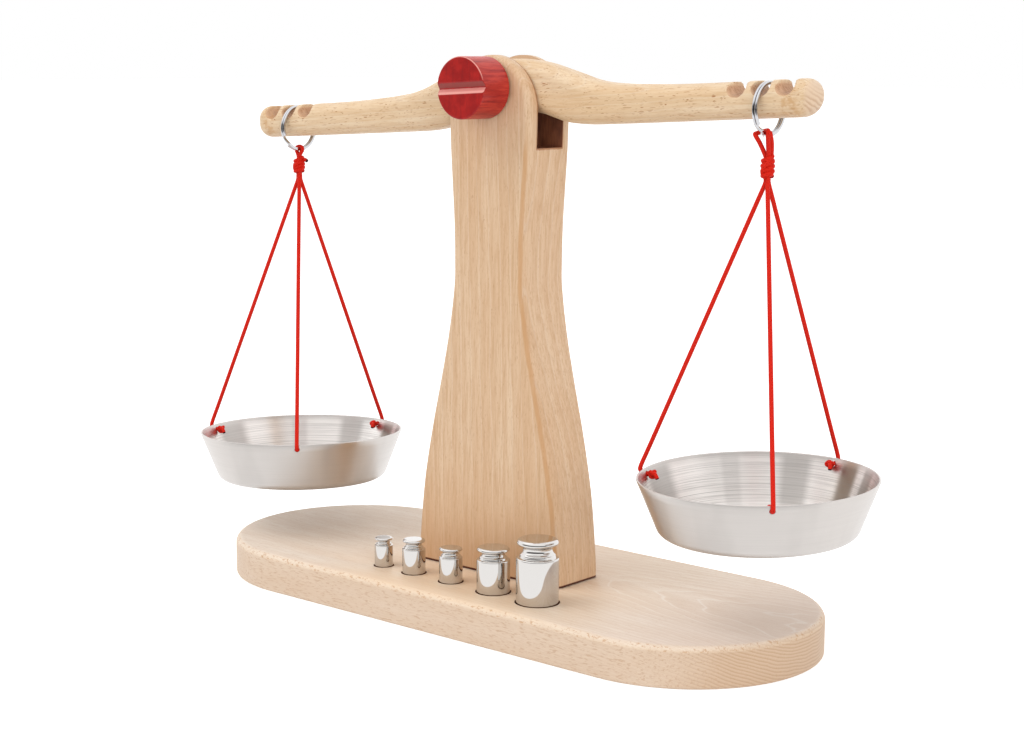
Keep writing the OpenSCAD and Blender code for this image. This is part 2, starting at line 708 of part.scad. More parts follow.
base_board();
pillar();
pillar_screws();
beam();
axle_dowel();
turning_knob();
split_ring(LEFT);  // ring_left
split_ring(RIGHT);  // ring_right
hanging_knot(LEFT);  // hanging_knot_left
hanging_knot(RIGHT);  // hanging_knot_right
cord(LEFT, FRONT);  // cord_left_front
cord(LEFT, SIDE);  // cord_left_outer
cord(LEFT, BACK);  // cord_left_back
cord(RIGHT, FRONT);  // cord_right_front
cord(RIGHT, SIDE);  // cord_right_inner
cord(RIGHT, BACK);  // cord_right_back
stop_knots(LEFT);  // stop_knots_left
stop_knots(RIGHT);  // stop_knots_right
pan(LEFT);  // pan_left
pan(RIGHT);  // pan_right
weight(WEIGHTS[0]);  // weight_50g
weight(WEIGHTS[1]);  // weight_20g
weight(WEIGHTS[2]);  // weight_10g_inner
weight(WEIGHTS[3]);  // weight_10g_outer
weight(WEIGHTS[4]);  // weight_5g
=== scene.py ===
"""Wooden balance scale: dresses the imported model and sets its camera, floor and light.

Sizes are written in millimetres and turned into metres when a mesh is made. X runs along the beam,
Y points away from the viewer and Z is up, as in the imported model.
"""
from math import atan, copysign, cos, hypot, pi, radians, sin, sqrt, tan

import bmesh
import bpy
from mathutils import Matrix, Vector


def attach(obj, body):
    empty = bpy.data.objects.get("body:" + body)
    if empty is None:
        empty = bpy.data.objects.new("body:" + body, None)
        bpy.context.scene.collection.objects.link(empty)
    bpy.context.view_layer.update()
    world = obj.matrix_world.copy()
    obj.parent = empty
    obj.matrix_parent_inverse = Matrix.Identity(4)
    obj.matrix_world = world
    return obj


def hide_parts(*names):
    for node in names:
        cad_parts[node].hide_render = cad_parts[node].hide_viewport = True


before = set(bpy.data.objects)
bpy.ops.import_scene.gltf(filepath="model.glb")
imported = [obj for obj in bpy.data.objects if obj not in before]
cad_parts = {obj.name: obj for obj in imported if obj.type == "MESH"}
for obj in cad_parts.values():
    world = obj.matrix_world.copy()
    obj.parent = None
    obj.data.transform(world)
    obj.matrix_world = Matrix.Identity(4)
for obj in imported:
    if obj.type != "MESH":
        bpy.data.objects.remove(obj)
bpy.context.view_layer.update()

MM = 0.001

# Camera
CAMERA_AIM = Vector((0, 0, 120))
CAMERA_AZIMUTH = 40.4338
CAMERA_ELEVATION = 8.1024
CAMERA_DISTANCE = 838.177
CAMERA_YAW = 40.4229
CAMERA_PITCH = -9.2623
CAMERA_ROLL = 0.3789
CAMERA_LENS = 68.86
SENSOR_WIDTH = 36

# Places shared by several pieces
MIDDLE_Y = -2.6
AXLE_Z = 223.6
REST_TURN = -3.3
BOARD_TOP = 17
KNOT_X = {"left": -127.880, "right": 128.893}
RING_Z = {"left": 202.937, "right": 217.742}
RING_WIRE_RADIUS = 9.75
KNOT_TOP_Z = {"left": 189.837, "right": 200.442}
KNOT_LOW_Z = {"left": 182.237, "right": 192.842}
PAN_LOW_Z = {"left": 38.512, "right": 53.317}
PAN_LEAN = {"left": (-1.1, -1.9), "right": (1.5, -0.7)}
CORD_TURNS = {
    "left": {"front": 314, "outer": 199, "back": 83},
    "right": {"front": 310, "inner": 196, "back": 82},
}

# Base board
BOARD_LENGTH = 299
BOARD_WIDTH = 114
BOARD_TOP_ROUND = 3.2
BOARD_LOW_ROUND = 1
SOCKET_DEPTH = 4
SOCKET_GAP = 0.5
WEIGHT_ROW_Y = -36
SCREW_X = 22
SCREW_HEAD_RADIUS = 4.08
SCREW_RADIUS = 2.08
SCREW_RECESS = 2

# Pillar, with the outline of its side from foot to head as (half width, height)
PILLAR_DEPTH = 27.8
PILLAR_ROUND = 3
PILLAR_HEAD_RADIUS = 22.4
PILLAR_HEAD_Z = 214.6
SLOT_WIDTH = 16.4
SLOT_FLOOR_Z = 199.1
BORE_RADIUS = 4.08
# Above this height the slot's walls turn pale, without scorch or painted shade
SLOT_DARK_TOP = 212
PILLAR_SIDE = [
    (40, 17.3), (39.8, 25.3), (37.96, 45.4), (35.82, 60.1), (31.78, 80.1), (27.05, 100.2),
    (22.76, 120.2), (19.9, 139.6), (19.6, 151), (19.88, 165.63), (20.78, 180.26), (22.06, 199.97),
    (22.4, 214.6),
]

# Beam, with its rise from the arms to the hub as shares of the reach and of the height
BEAM_LENGTH = 301
BEAM_THICK = 15
BEAM_ROUND = 5.8
BEAM_END_ROUNDS = {"left": (6.2, 6.2), "right": (8.1, 6.2)}
ARM_TOP = -2.6
ARM_LOW = -17
HUB_CROWN = 11.8
HUB_HOLLOW = -9.6
HUB_REACH = 105.952
REACH_SHARES = (0, 0.09, 0.18, 0.24, 0.3, 0.363, 0.43, 0.5, 0.575, 0.65, 0.82, 1)
TOP_RISE_SHARES = (1, 0.965, 0.865, 0.755, 0.61, 0.46, 0.29, 0.177, 0.116, 0.078, 0.02, 0)
LOW_RISE_SHARES = (1, 0.95, 0.76, 0.51, 0.24, 0.1, 0.025, 0.01, 0.005, 0.002, 0, 0)
NOTCH_PLACES = (117.8, 128.6, 139.4)
NOTCH_RADIUS = 3.9
NOTCH_MOUTH_RADIUS = 4.9
NOTCH_LOW = -8.8

# Knob
KNOB_RADIUS = 12.8
KNOB_LENGTH = 16.5
KNOB_BACK_Y = -17.2
KNOB_GROOVE_HALF = 4.05
KNOB_GROOVE_DEPTH = 1.7
KNOB_EDGE = 0.7
KNOB_BORE_DEPTH = 9.1
KNOB_FACE_Y = KNOB_BACK_Y - KNOB_LENGTH

# Rings and cords
RING_RADIUS = 10.5
RING_WIRE = 1.5
RING_STEP = 1.25
RING_WIRE_HALF = (0.52, 0.73)
RING_WIRE_SQUARE = (0.8, 0.72)
RING_START = {"left": 215, "right": 232}
RING_STEP_HALF = 16
RING_STEPS = 220
CORD_DIAMETER = 1.8
KNOT_WIDTH = 5.7
STOP_KNOT_DIAMETER = 4.2
LOOP_SLIDE = 26
WRAP_TURNS = 4
WRAP_STEPS = 10
KNOT_REACH = {"left": 0.4, "right": 1.8}

# Pans
PAN_RIM_RADIUS = 47.3
PAN_BOTTOM_RADIUS = 38.6
PAN_HEIGHT = 22.7
PAN_SHEET = 0.8
PAN_CORNER = 4
PAN_HOLE_DROP = 2.2
PAN_HOLE_RADIUS = 1.2

# Weights: diameter, height above the board, height of the straight body, place along the board.
# The neck is given above the body as shares of the radius and of the height that is left.
WEIGHTS = {
    "weight_50g": (17.6, 26.7, 18.6, 45.2),
    "weight_20g": (14, 19.1, 13.7, 21.4),
    "weight_10g_inner": (10, 14.8, 10.6, -2.4),
    "weight_10g_outer": (10, 14.8, 10.6, -23.8),
    "weight_5g": (8, 12.6, 9.2, -41.8),
}
WEIGHT_FOOT_GAP = 0.2
WEIGHT_NECK = [
    (0.865, 0.055), (0.85, 0.075), (0.843, 0.12), (0.835, 0.19), (0.80, 0.235), (0.745, 0.29),
    (0.705, 0.36), (0.69, 0.44), (0.69, 0.51), (0.715, 0.57), (0.79, 0.63), (0.89, 0.675), (0.945, 0.715),
    (0.968, 0.76), (0.97, 0.81), (0.955, 0.87), (0.92, 0.93), (0.86, 0.972), (0.78, 0.992), (0.6, 1.0),
]

# Steps round a plate's long edge
EDGE_STEPS = 8

# Floor, surroundings and lamps, in metres. Steel sees a darker room towards DARK_SIDE.
FLOOR_REACH = 12
FLOOR_LEVEL = -2e-5
FLOOR_COLOUR = (0.82, 0.82, 0.82, 1)
FLOOR_GLOW = 0.62
PAPER_LEVEL = 1.3
ROOM_LEVEL = 0.06
SKY_LEVEL = 0.82
WINDOW_GAIN = 0.3
DARK_SIDE = (0.35, -0.94, 0)
LAMP_AIM = Vector((0, 0, 0.1))
KEY_PLACE = (-1.2, -1.1, 2.3)
KEY_SIZE, KEY_POWER = 1.7, 19
FILL_PLACE = (2.4, -1.2, 0.9)
FILL_SIZE, FILL_POWER = 1.6, 17


# ---------------------------------------------------------------- curves

def curve(points, steps):
    """Smooth curve through the points, with steps points in each span."""
    points = [Vector(p) for p in points]
    last = len(points) - 1
    made = []
    for i in range(last):
        a, b, c, d = points[max(i - 1, 0)], points[i], points[i + 1], points[min(i + 2, last)]
        for s in range(steps):
            t = s / steps
            made.append(0.5 * (
                2 * b + (c - a) * t + (2 * a - 5 * b + 4 * c - d) * t * t
                + (3 * b - a - 3 * c + d) * t * t * t))
    made.append(points[last])
    return made


def arc(middle, radius, start, end, steps):
    """Points of an arc between two angles in degrees."""
    angles = [radians(start + (end - start) * s / steps) for s in range(steps + 1)]
    return [Vector((middle[0] + radius * cos(a), middle[1] + radius * sin(a))) for a in angles]


def spaced(points, step):
    """The same line with points a fixed distance apart."""
    lengths = [0]
    for a, b in zip(points, points[1:]):
        lengths.append(lengths[-1] + (b - a).length)
    count = max(2, round(lengths[-1] / step))
    made, k = [], 0
    for i in range(count + 1):
        want = lengths[-1] * i / count
        while k < len(points) - 2 and lengths[k + 1] < want:
            k += 1
        span = lengths[k + 1] - lengths[k]
        made.append(points[k].lerp(points[k + 1], (want - lengths[k]) / span if span else 0))
    return made


def mirrored(points):
    """The line on the other side of the middle, in the opposite order."""
    return [Vector((-p[0], p[1])) for p in reversed(points)]


def length_of(points):
    return sum((b - a).length for a, b in zip(points, points[1:]))


# ---------------------------------------------------------------- meshes

def add_object(name, data):
    made = bpy.data.objects.new(name, data)
    bpy.context.scene.collection.objects.link(made)
    return made


def add_mesh(name, bm, materials):
    """Turns a bmesh in millimetres into an object of the scene."""
    bmesh.ops.scale(bm, vec=(MM, MM, MM), verts=bm.verts)
    mesh = bpy.data.meshes.new(name)
    bm.to_mesh(mesh)
    bm.free()
    for material in materials:
        mesh.materials.append(material)
    return add_object(name, mesh)


def make_piece(name, bm, body, slot, *materials):
    """A visible piece, which rides on a body."""
    piece = add_mesh(name, bm, materials)
    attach(piece, body)
    return piece


def outward(bm):
    bmesh.ops.recalc_face_normals(bm, faces=bm.faces)
    return bm


def moved(bm, matrix):
    bmesh.ops.transform(bm, matrix=matrix, verts=bm.verts)
    return bm


def apply_modifiers(piece):
    graph = bpy.context.evaluated_depsgraph_get()
    mesh = bpy.data.meshes.new_from_object(piece.evaluated_get(graph), depsgraph=graph)
    mesh.name = piece.name
    piece.modifiers.clear()
    piece.data = mesh


def cut(piece, spaces, material=None):
    """Takes spaces, given as bmeshes, out of the piece. The cut faces get the material, if there is one."""
    tools = [add_mesh("space", space, [material] if material else []) for space in spaces]
    for tool in tools:
        modifier = piece.modifiers.new("cut", "BOOLEAN")
        modifier.object = tool
        modifier.operation = "DIFFERENCE"
        modifier.solver = "EXACT"
        modifier.material_mode = "TRANSFER"
    apply_modifiers(piece)
    for tool in tools:
        bpy.data.objects.remove(tool)


def shade(piece, angle):
    piece.data.shade_smooth()
    piece.data.set_sharp_from_angle(angle=radians(angle))


def soften_rims(piece, width, material=-1):
    """Rounds the edges between the cut faces and the outside, which has the piece's first material."""
    bm = bmesh.new()
    bm.from_mesh(piece.data)
    rims = [
        e for e in bm.edges
        if len(e.link_faces) == 2
        and (e.link_faces[0].material_index == 0) != (e.link_faces[1].material_index == 0)]
    bmesh.ops.bevel(
        bm, geom=rims, offset=width * MM, segments=2, profile=0.5, affect="EDGES",
        clamp_overlap=True, material=material)
    bm.to_mesh(piece.data)
    bm.free()


def skin(bm, rings, ends=True):
    """Faces from each ring of corners to the next, and a flat face over each end."""
    for a, b in zip(rings, rings[1:]):
        for i in range(len(a)):
            n = (i + 1) % len(a)
            bm.faces.new([a[i], a[n], b[n], b[i]])
    if ends:
        bm.faces.new(rings[0])
        bm.faces.new(rings[-1])
    outward(bm)


def wrap(bm, rings, along):
    """Faces from each ring of corners to the next. The map is the share of the way round, and the way along.

    A ring may be one corner, where the surface closes to a point.
    """
    uv = bm.loops.layers.uv.new("surface")
    for i, (a, b) in enumerate(zip(rings, rings[1:])):
        count = max(len(a), len(b))
        for s in range(count):
            n = (s + 1) % count
            corners = [(a[0], s + 0.5, i)] if len(a) == 1 else [(a[s], s, i), (a[n], s + 1, i)]
            corners += [(b[0], s + 0.5, i + 1)] if len(b) == 1 else [(b[n], s + 1, i + 1), (b[s], s, i + 1)]
            face = bm.faces.new([corner for corner, _, _ in corners])
            for loop, (_, turn, at) in zip(face.loops, corners):
                loop[uv].uv = (turn / count, along[at])


def lathe(profile, sides, middle=(0, 0, 0)):
    """Turns a profile of (radius, height) about the vertical through the middle."""
    bm = bmesh.new()
    along, rings = [0], []
    for a, b in zip(profile, profile[1:]):
        along.append(along[-1] + hypot(b[0] - a[0], b[1] - a[1]))
    for radius, height in profile:
        angles = [2 * pi * s / sides for s in range(sides)] if radius > 1e-6 else [0]
        rings.append([
            bm.verts.new((
                middle[0] + radius * cos(a), middle[1] + radius * sin(a), middle[2] + height))
            for a in angles])
    wrap(bm, rings, along)
    return outward(bm)


def cylinder(radius, start, end, sides=64, radius_end=None):
    """Closed cylinder or cone from start to end."""
    start, end = Vector(start), Vector(end)
    bm = bmesh.new()
    turn = (end - start).to_track_quat("Z", "Y").to_matrix().to_4x4()
    bmesh.ops.create_cone(
        bm, cap_ends=True, segments=sides, radius1=radius,
        radius2=radius if radius_end is None else radius_end, depth=(end - start).length,
        matrix=Matrix.Translation((start + end) / 2) @ turn)
    return bm


def block(low, high):
    bm = bmesh.new()
    size, middle = Vector(high) - Vector(low), (Vector(high) + Vector(low)) / 2
    bmesh.ops.create_cube(bm, size=1, matrix=Matrix.Translation(middle) @ Matrix.Diagonal((*size, 1)))
    return bm


def joined(parts):
    """Several bmeshes in one."""
    whole = bmesh.new()
    for part in parts:
        mesh = bpy.data.meshes.new("part")
        part.to_mesh(mesh)
        part.free()
        whole.from_mesh(mesh)
        bpy.data.meshes.remove(mesh)
    return whole


def tube(points, section, closed=False, end_material=0):
    """Sweeps a section along a line. The section gives its (x, y) points for each share of the way."""
    bm = bmesh.new()
    last = len(points) - 1
    tangents = []
    for i in range(last + 1):
        if closed:
            run = points[(i + 1) % (last + 1)] - points[i - 1]
        else:
            run = points[min(i + 1, last)] - points[max(i - 1, 0)]
        tangents.append(run.normalized())
    side = tangents[0].orthogonal().normalized()
    rings, along = [], [0]
    for i, point in enumerate(points):
        if i:
            side = tangents[i - 1].rotation_difference(tangents[i]) @ side
            along.append(along[-1] + (point - points[i - 1]).length)
        side = (side - tangents[i] * side.dot(tangents[i])).normalized()
        other = tangents[i].cross(side)
        rings.append([bm.verts.new(point + side * x + other * y) for x, y in section(i / last)])
    if closed:
        rings.append(rings[0])
        along.append(along[-1] + (points[0] - points[last]).length)
    wrap(bm, rings, along)
    if not closed:
        for ring in (rings[0], rings[last]):
            bm.faces.new(ring).material_index = end_material
    return outward(bm)


def round_section(radius, sides, ends=0):
    """Round section that closes softly over the given share of the way at both ends."""
    def at(share):
        size, from_end = radius, min(share, 1 - share)
        if from_end < ends:
            size *= sqrt(max(0.02, 1 - (1 - from_end / ends) ** 2))
        return [
            (size * cos(2 * pi * s / sides), size * sin(2 * pi * s / sides))
            for s in range(sides)]
    return at


def plate(outline, thick, edge, stands=False):
    """Plate with a closed outline in X and Z and rounded long edges. A plate that stands has a flat foot.

    Point i of the outline lies opposite point n - 1 - i, so that the two faces are strips of four corners.
    """
    bm = bmesh.new()
    count = len(outline)
    inward = []
    for i in range(count):
        before = outline[i - 1] if i or not stands else outline[0]
        after = outline[(i + 1) % count] if i < count - 1 or not stands else outline[-1]
        run = after - before
        if stands and i in (0, count - 1):
            inward.append(Vector((-copysign(1, run[1]), 0)))
        else:
            inward.append(Vector((-run[1], run[0])).normalized())
    quarter = [pi / 2 * s / EDGE_STEPS for s in range(EDGE_STEPS + 1)]
    front = [(-thick / 2 + edge * (1 - sin(q)), edge * (1 - cos(q))) for q in reversed(quarter)]
    rings = []
    for y, inset in front + [(-y, inset) for y, inset in reversed(front)]:
        rings.append([
            bm.verts.new((p[0] + inset * d[0], y, p[1] + inset * d[1]))
            for p, d in zip(outline, inward)])
    for ring in (rings[0], rings[-1]):
        for i in range(count // 2 - 1):
            bm.faces.new([ring[i], ring[i + 1], ring[count - 2 - i], ring[count - 1 - i]])
    skin(bm, rings, ends=False)
    return bm


def remesh(piece, voxel, smooth_steps):
    """Rebuilds the piece as one soft skin, as sanding leaves it."""
    modifier = piece.modifiers.new("skin", "REMESH")
    modifier.mode = "VOXEL"
    modifier.voxel_size = voxel * MM
    modifier = piece.modifiers.new("soft", "SMOOTH")
    modifier.factor = 0.5
    modifier.iterations = smooth_steps
    apply_modifiers(piece)
    piece.data.shade_smooth()


# ---------------------------------------------------------------- materials

def operator(operation):
    return lambda a, b: a.tree.math(operation, a, b)


class Value:
    """What a node gives. It is added, multiplied and so on like a number, and each step adds a node."""

    __add__, __sub__, __mul__ = operator("ADD"), operator("SUBTRACT"), operator("MULTIPLY")
    __truediv__, __pow__ = operator("DIVIDE"), operator("POWER")

    def __init__(self, tree, socket):
        self.tree, self.socket = tree, socket

    def __rsub__(self, other):
        return self.tree.math("SUBTRACT", other, self)

    def __abs__(self):
        return self.tree.math("ABSOLUTE", self)

    def spread(self, low, high, to_low=0.0, to_high=1.0):
        """Maps low..high to another range, smoothly."""
        limits = {"From Min": low, "From Max": high, "To Min": to_low, "To Max": to_high}
        return self.tree.value(
            "MapRange", {"Value": self, **limits}, "Result", interpolation_type="SMOOTHSTEP")

    def fall(self, low, high):
        return self.spread(low, high, 1.0, 0.0)

    def within(self, low, high, soft):
        """1 between low and high, fading to 0 over soft on each side."""
        return self.spread(low - soft, low) * self.fall(high, high + soft)


class Tree:
    """Short way of writing the nodes of a material or of the surroundings."""

    def __init__(self, owner, output="OutputMaterial"):
        owner.use_nodes = True
        self.owner, self.tree = owner, owner.node_tree
        self.tree.nodes.clear()
        self.output = self.node(output)

    def node(self, kind, inputs=None, **settings):
        node = self.tree.nodes.new("ShaderNode" + kind)
        for key, value in settings.items():
            setattr(node, key, value)
        for key, value in (inputs or {}).items():
            value = value.socket if isinstance(value, Value) else value
            if isinstance(value, bpy.types.NodeSocket):
                self.tree.links.new(value, node.inputs[key])
            else:
                node.inputs[key].default_value = value
        return node

    def value(self, kind, inputs=None, output=0, **settings):
        return Value(self, self.node(kind, inputs, **settings).outputs[output])

    def math(self, operation, *values):
        return self.value("Math", dict(enumerate(values)), operation=operation)

    def noise(self, place, scale, detail=2.0, rough=0.5):
        inputs = {"Vector": place, "Scale": scale, "Detail": detail, "Roughness": rough}
        return self.value("TexNoise", inputs, "Fac")

    def vector(self, x, y, z):
        return self.value("CombineXYZ", {0: x, 1: y, 2: z})

    def parts(self, vector):
        return [Value(self, output) for output in self.node("SeparateXYZ", {0: vector}).outputs]

    def normal(self):
        return self.parts(self.value("TexCoord", output="Normal"))

    def surface_map(self):
        """The map that tube and lathe make: share of the way round, and millimetres along."""
        return self.parts(self.value("UVMap", uv_map="surface"))[:2]

    def bump(self, height, strength, distance):
        return self.value(
            "Bump", {"Height": height, "Strength": strength, "Distance": distance * MM}, "Normal")

    def surface(self, shader):
        self.tree.links.new(shader.outputs[0], self.output.inputs["Surface"])
        return self.owner

    def principled(self, **inputs):
        return self.surface(self.node("BsdfPrincipled", {k.replace("_", " "): v for k, v in inputs.items()}))


def material_tree(name):
    return Tree(bpy.data.materials.new(name))


def mix(share, a, b):
    """Colour that goes from a to b as the share, a value, goes from 0 to 1."""
    return share.tree.value("Mix", {0: share, 6: a, 7: b}, 2, data_type="RGBA")


def srgb(red, green, blue):
    """Colour written as a picture shows it, in 0..255."""
    def linear(value):
        value /= 255
        return value / 12.92 if value <= 0.04045 else ((value + 0.055) / 1.055) ** 2.4
    return (linear(red), linear(green), linear(blue), 1)


def wood_place(tree, grain, tilt=0.0, middle=(0, 0, 0)):
    """Place in the wood in millimetres: as X, Y, Z, and as along the grain and the two ways across it."""
    turn = Matrix.Rotation(radians(tilt), 3, "Y")
    x, y, z = tree.parts(tree.value("Mapping", {
        "Vector": tree.value("TexCoord", output="Object"), "Rotation": (0, radians(tilt), 0),
        "Scale": (1 / MM,) * 3, "Location": tuple(-(turn @ Vector(middle)))}))
    return (x, y, z), {"X": (x, y, z), "Y": (y, x, z), "Z": (z, x, y)}[grain]


class Spot:
    """A point of the wood: its place in millimetres, the way it faces and how dark its growth ring is."""

    def __init__(self, tree, place, late):
        self.tree, self.late = tree, late
        self.x, self.y, self.z = place
        self.normal = tree.normal()
        self.nx, self.ny, self.nz = self.normal

    def noise(self, paces, detail, rough=0.5):
        """Noise that changes at its own pace along X, Y and Z."""
        x, y, z = (v * pace for v, pace in zip((self.x, self.y, self.z), paces))
        return self.tree.noise(self.tree.vector(x, y, z), 1.0, detail, rough)


def wood(name, grain, base, dark, light, fleck, pith, pale=(0.85, 0.8, 0.72, 1), taper=0.0, ring_width=3.0,
         ring_share=0.3, pale_share=0.12, ring_gain=None, wave=1.5, fibre_share=0.4, fleck_share=0.6,
         fleck_size=(2.4, 0.42), fleck_from=0.35, tilt=0.0, middle=(0, 0, 0), roughness=0.5, touches=()):
    """Solid beech: growth rings round a pith line, short flecks and fine fibres, all cut from one block.

    ring_gain fades the rings in along X. Each touch adds one local mark to the colour.
    """
    tree = material_tree(name)
    place, (along, across, up) = wood_place(tree, grain, tilt, middle)

    def stretched(pace_along, pace_across):
        return tree.vector(along * pace_along, across * pace_across, up * pace_across)

    def noise(pace_along, pace_across, detail=2.0, rough=0.5):
        return tree.noise(stretched(pace_along, pace_across), 1.0, detail, rough)

    # The block isn't perfectly straight: its rings wander a little along the grain
    bend = noise(0.012, 0.035) - 0.5
    ripple = noise(0.05, 0.14) - 0.5
    from_pith = (across - pith[0]) ** 2 + (up - (along * taper + pith[1])) ** 2
    reach = tree.math("SQRT", from_pith) + (bend * (2 * wave) + ripple * (0.35 * wave))

    # Growth rings: early wood that darkens to a soft line, and a thin pale line after it
    year = tree.math("FRACT", reach / ring_width)
    late = year.spread(0.25, 0.88) * year.fall(0.92, 1.0)
    pale_line = year.spread(0.0, 0.03) * year.fall(0.05, 0.12)
    if ring_gain:
        gain = place[0].spread(*ring_gain)
        late, pale_line = late * gain, pale_line * gain

    # Fibres are long thin streaks of slightly different tone, pores are short and finer
    fibre = noise(0.08, 1.3, 3.0, 0.65)
    pore = noise(0.4, 3.2, 2.0, 0.6)
    cloud = noise(0.01, 0.09)

    # Flecks: thin lens shapes that lie along the grain
    stray = tree.value("TexNoise", {"Vector": stretched(0.12, 0.35), "Scale": 1.0, "Detail": 2.0}, "Color")
    stray = tree.value("VectorMath", {0: stray, 1: (5.0, 5.0, 5.0)}, operation="MULTIPLY")
    fleck_at = stretched(1 / fleck_size[0], 1 / fleck_size[1])
    fleck_at = tree.value("VectorMath", {0: fleck_at, 1: stray}, operation="ADD")
    cells = tree.node("TexVoronoi", {"Vector": fleck_at, "Scale": 1.0, "Randomness": 1.0})
    chosen = tree.parts(cells.outputs["Color"])
    near = chosen[0].spread(fleck_from, 0.98, 0.0, 0.46) - cells.outputs["Distance"]
    flecks = near.spread(0.0, 0.16) * chosen[1].spread(0.1, 0.9, 0.35, 1.0)
    flecks = flecks * noise(0.06, 0.3, 1.0).spread(0.3, 0.6, 0.45, 1.0)

    colour = mix(cloud.spread(0.3, 0.7), base, light)
    colour = mix(fibre.spread(0.4, 0.72) * fibre_share, colour, dark)
    colour = mix(late * ring_share, colour, dark)
    colour = mix(pale_line * pale_share, colour, pale)
    colour = mix(pore.spread(0.54, 0.7) * (0.6 * fibre_share), colour, dark)
    colour = mix(flecks * fleck_share, colour, fleck)
    spot = Spot(tree, place, late)
    for touch in touches:
        colour = touch(spot, colour)
    return tree.principled(
        Base_Color=colour, Roughness=fibre.spread(0.2, 0.8, roughness - 0.06, roughness + 0.08),
        Normal=tree.bump(fibre * 0.5 - flecks * 0.6 - pore.spread(0.55, 0.75) * 0.4, 0.3, 0.1), IOR=1.45)


def end_grain(tone, line, share, axis=0):
    """End grain, where the surface stands across the fibres: deeper in tone, with its rings clearer."""
    def touch(at, colour):
        facing = abs(at.normal[axis]).spread(0.45, 0.85)
        return mix(facing * share, colour, mix(at.late * 0.75, tone, line))
    return touch


def rosy_right(at, colour):
    """The board's top is a little pinker towards its right end, and its sides are deeper in tone."""
    top = at.x.spread(70.0, 135.0) * at.nz.spread(0.6, 0.95)
    colour = mix(top * 0.35, colour, srgb(222, 200, 188))
    side = at.nz.fall(0.25, 0.6)
    colour = mix(side * 0.5, colour, srgb(216, 184, 152))
    dashes = at.noise((0.3, 1.6, 1.6), 2.0, 0.6).spread(0.54, 0.66) * side
    return mix(dashes * 0.5, colour, srgb(196, 154, 116))


def warm_bounce_light(at, colour):
    """Painted warm light on the board's top round the pillar and the weights, thrown back from the pillar: a
    warmer, lighter colour.
    """
    share = abs(at.x - 8.0).spread(25.0, 85.0, 0.5, 0.0) * at.y.spread(10.0, -30.0, 0.4, 1.0)
    return mix(share * at.nz.spread(0.3, 0.9), colour, srgb(240, 206, 164))


def rim_highlight_and_specks(at, colour):
    """Torn fibres on the board's rounded top edge: short warm specks on a paler band, the band a painted
    highlight along the rounding.
    """
    band = at.nz.within(0.3, 0.85, 0.12) * at.z.spread(11.0, 13.0)
    # Painted highlight: the rounded top edge is painted paler
    colour = mix(band * 0.35, colour, srgb(238, 216, 190))
    specks = at.noise((0.5, 0.9, 0.9), 3.0, 0.75).spread(0.53, 0.64)
    return mix(specks * band * 0.7, colour, srgb(200, 152, 106))


def edge_streak(at, colour):
    """A brown streak down the pillar's front right edge."""
    rim = at.nx + (at.noise((0.0, 0.0, 0.06), 3.0) - 0.5) * 0.5
    band = rim.within(0.28, 0.62, 0.2) * at.ny.spread(-0.2, -0.4) * at.z.within(30.0, 196.0, 12.0)
    return mix(band * 0.62, colour, srgb(202, 150, 98))


def warm_foot(at, colour):
    """The pillar's wood is a little deeper in tone low down."""
    share = at.z.fall(18.0, 75.0) * at.nx.spread(0.4, 0.8, 0.5, 0.1)
    return mix(share, colour, srgb(214, 166, 120))


def slot_rim_scorch_and_shade(at, colour):
    """The thin dark line round the slot: partly the scorch the cutter leaves, partly painted shade of the
    gap between the cheeks and the beam.
    """
    line = abs(at.y - MIDDLE_Y).fall(SLOT_WIDTH / 2 + 0.3, SLOT_WIDTH / 2 + 0.65)
    low = at.z + at.noise((0.5, 0.5, 0.5), 2.0) * 0.8
    line = line * low.spread(SLOT_FLOOR_Z - 0.5, SLOT_FLOOR_Z - 0.1)
    return mix(line * 0.8, colour, srgb(158, 98, 54))


def foot_gap_shade(at, colour):
    """Painted shade of the thin gap under the pillar's foot: the wood just above the foot is dark brown."""
    return mix(at.z.fall(BOARD_TOP + 0.85, BOARD_TOP + 1.15), colour, srgb(88, 38, 16))


def notch_walls(at, colour):
    """Inside the notches the cutter leaves end grain: reddish brown, with fine slanting lines."""
    inside = at.z.fall(-4.6, -3.6) * at.z.within(-9.9, 0.0, 0.4)
    inside = inside * abs(at.x).within(112.0, 144.4, 0.4)
    inside = inside * abs(at.ny).fall(0.45, 0.75) * abs(at.nx).spread(0.05, 0.4)
    slant = at.tree.vector(0.0, at.y * 0.5, at.z * 2.2 + at.y * 1.4)
    lines = at.tree.noise(slant, 1.0).spread(0.4, 0.65)
    return mix(inside * 0.95, colour, mix(lines, srgb(214, 174, 138), srgb(186, 140, 104)))


def beam_ends(at, colour):
    """The beam's rounded ends: a tan band, then pale end grain with brown arcs."""
    out = abs(at.x)
    patch = at.noise((0.35, 0.35, 0.35), 3.0, 0.65).spread(0.4, 0.62)
    colour = mix(out.within(140.0, 143.0, 3.5) * patch * 0.6, colour, srgb(202, 152, 96))
    reach = at.tree.math("SQRT", (at.y - 4.0) ** 2 + (at.z - 2.0) ** 2)
    arcs = at.tree.math("FRACT", (reach + at.noise((0.14, 0.14, 0.14), 3.0) * 3.5) / 1.7)
    arcs = arcs.spread(0.2, 0.7) * arcs.fall(0.75, 1.0) * at.z.spread(-13.0, -5.0, 0.6, 0.15)
    ends = abs(at.nx).spread(0.4, 0.75) * out.spread(142.0, 145.0)
    return mix(ends * 0.85, colour, mix(arcs, srgb(228, 200, 172), srgb(184, 140, 104)))


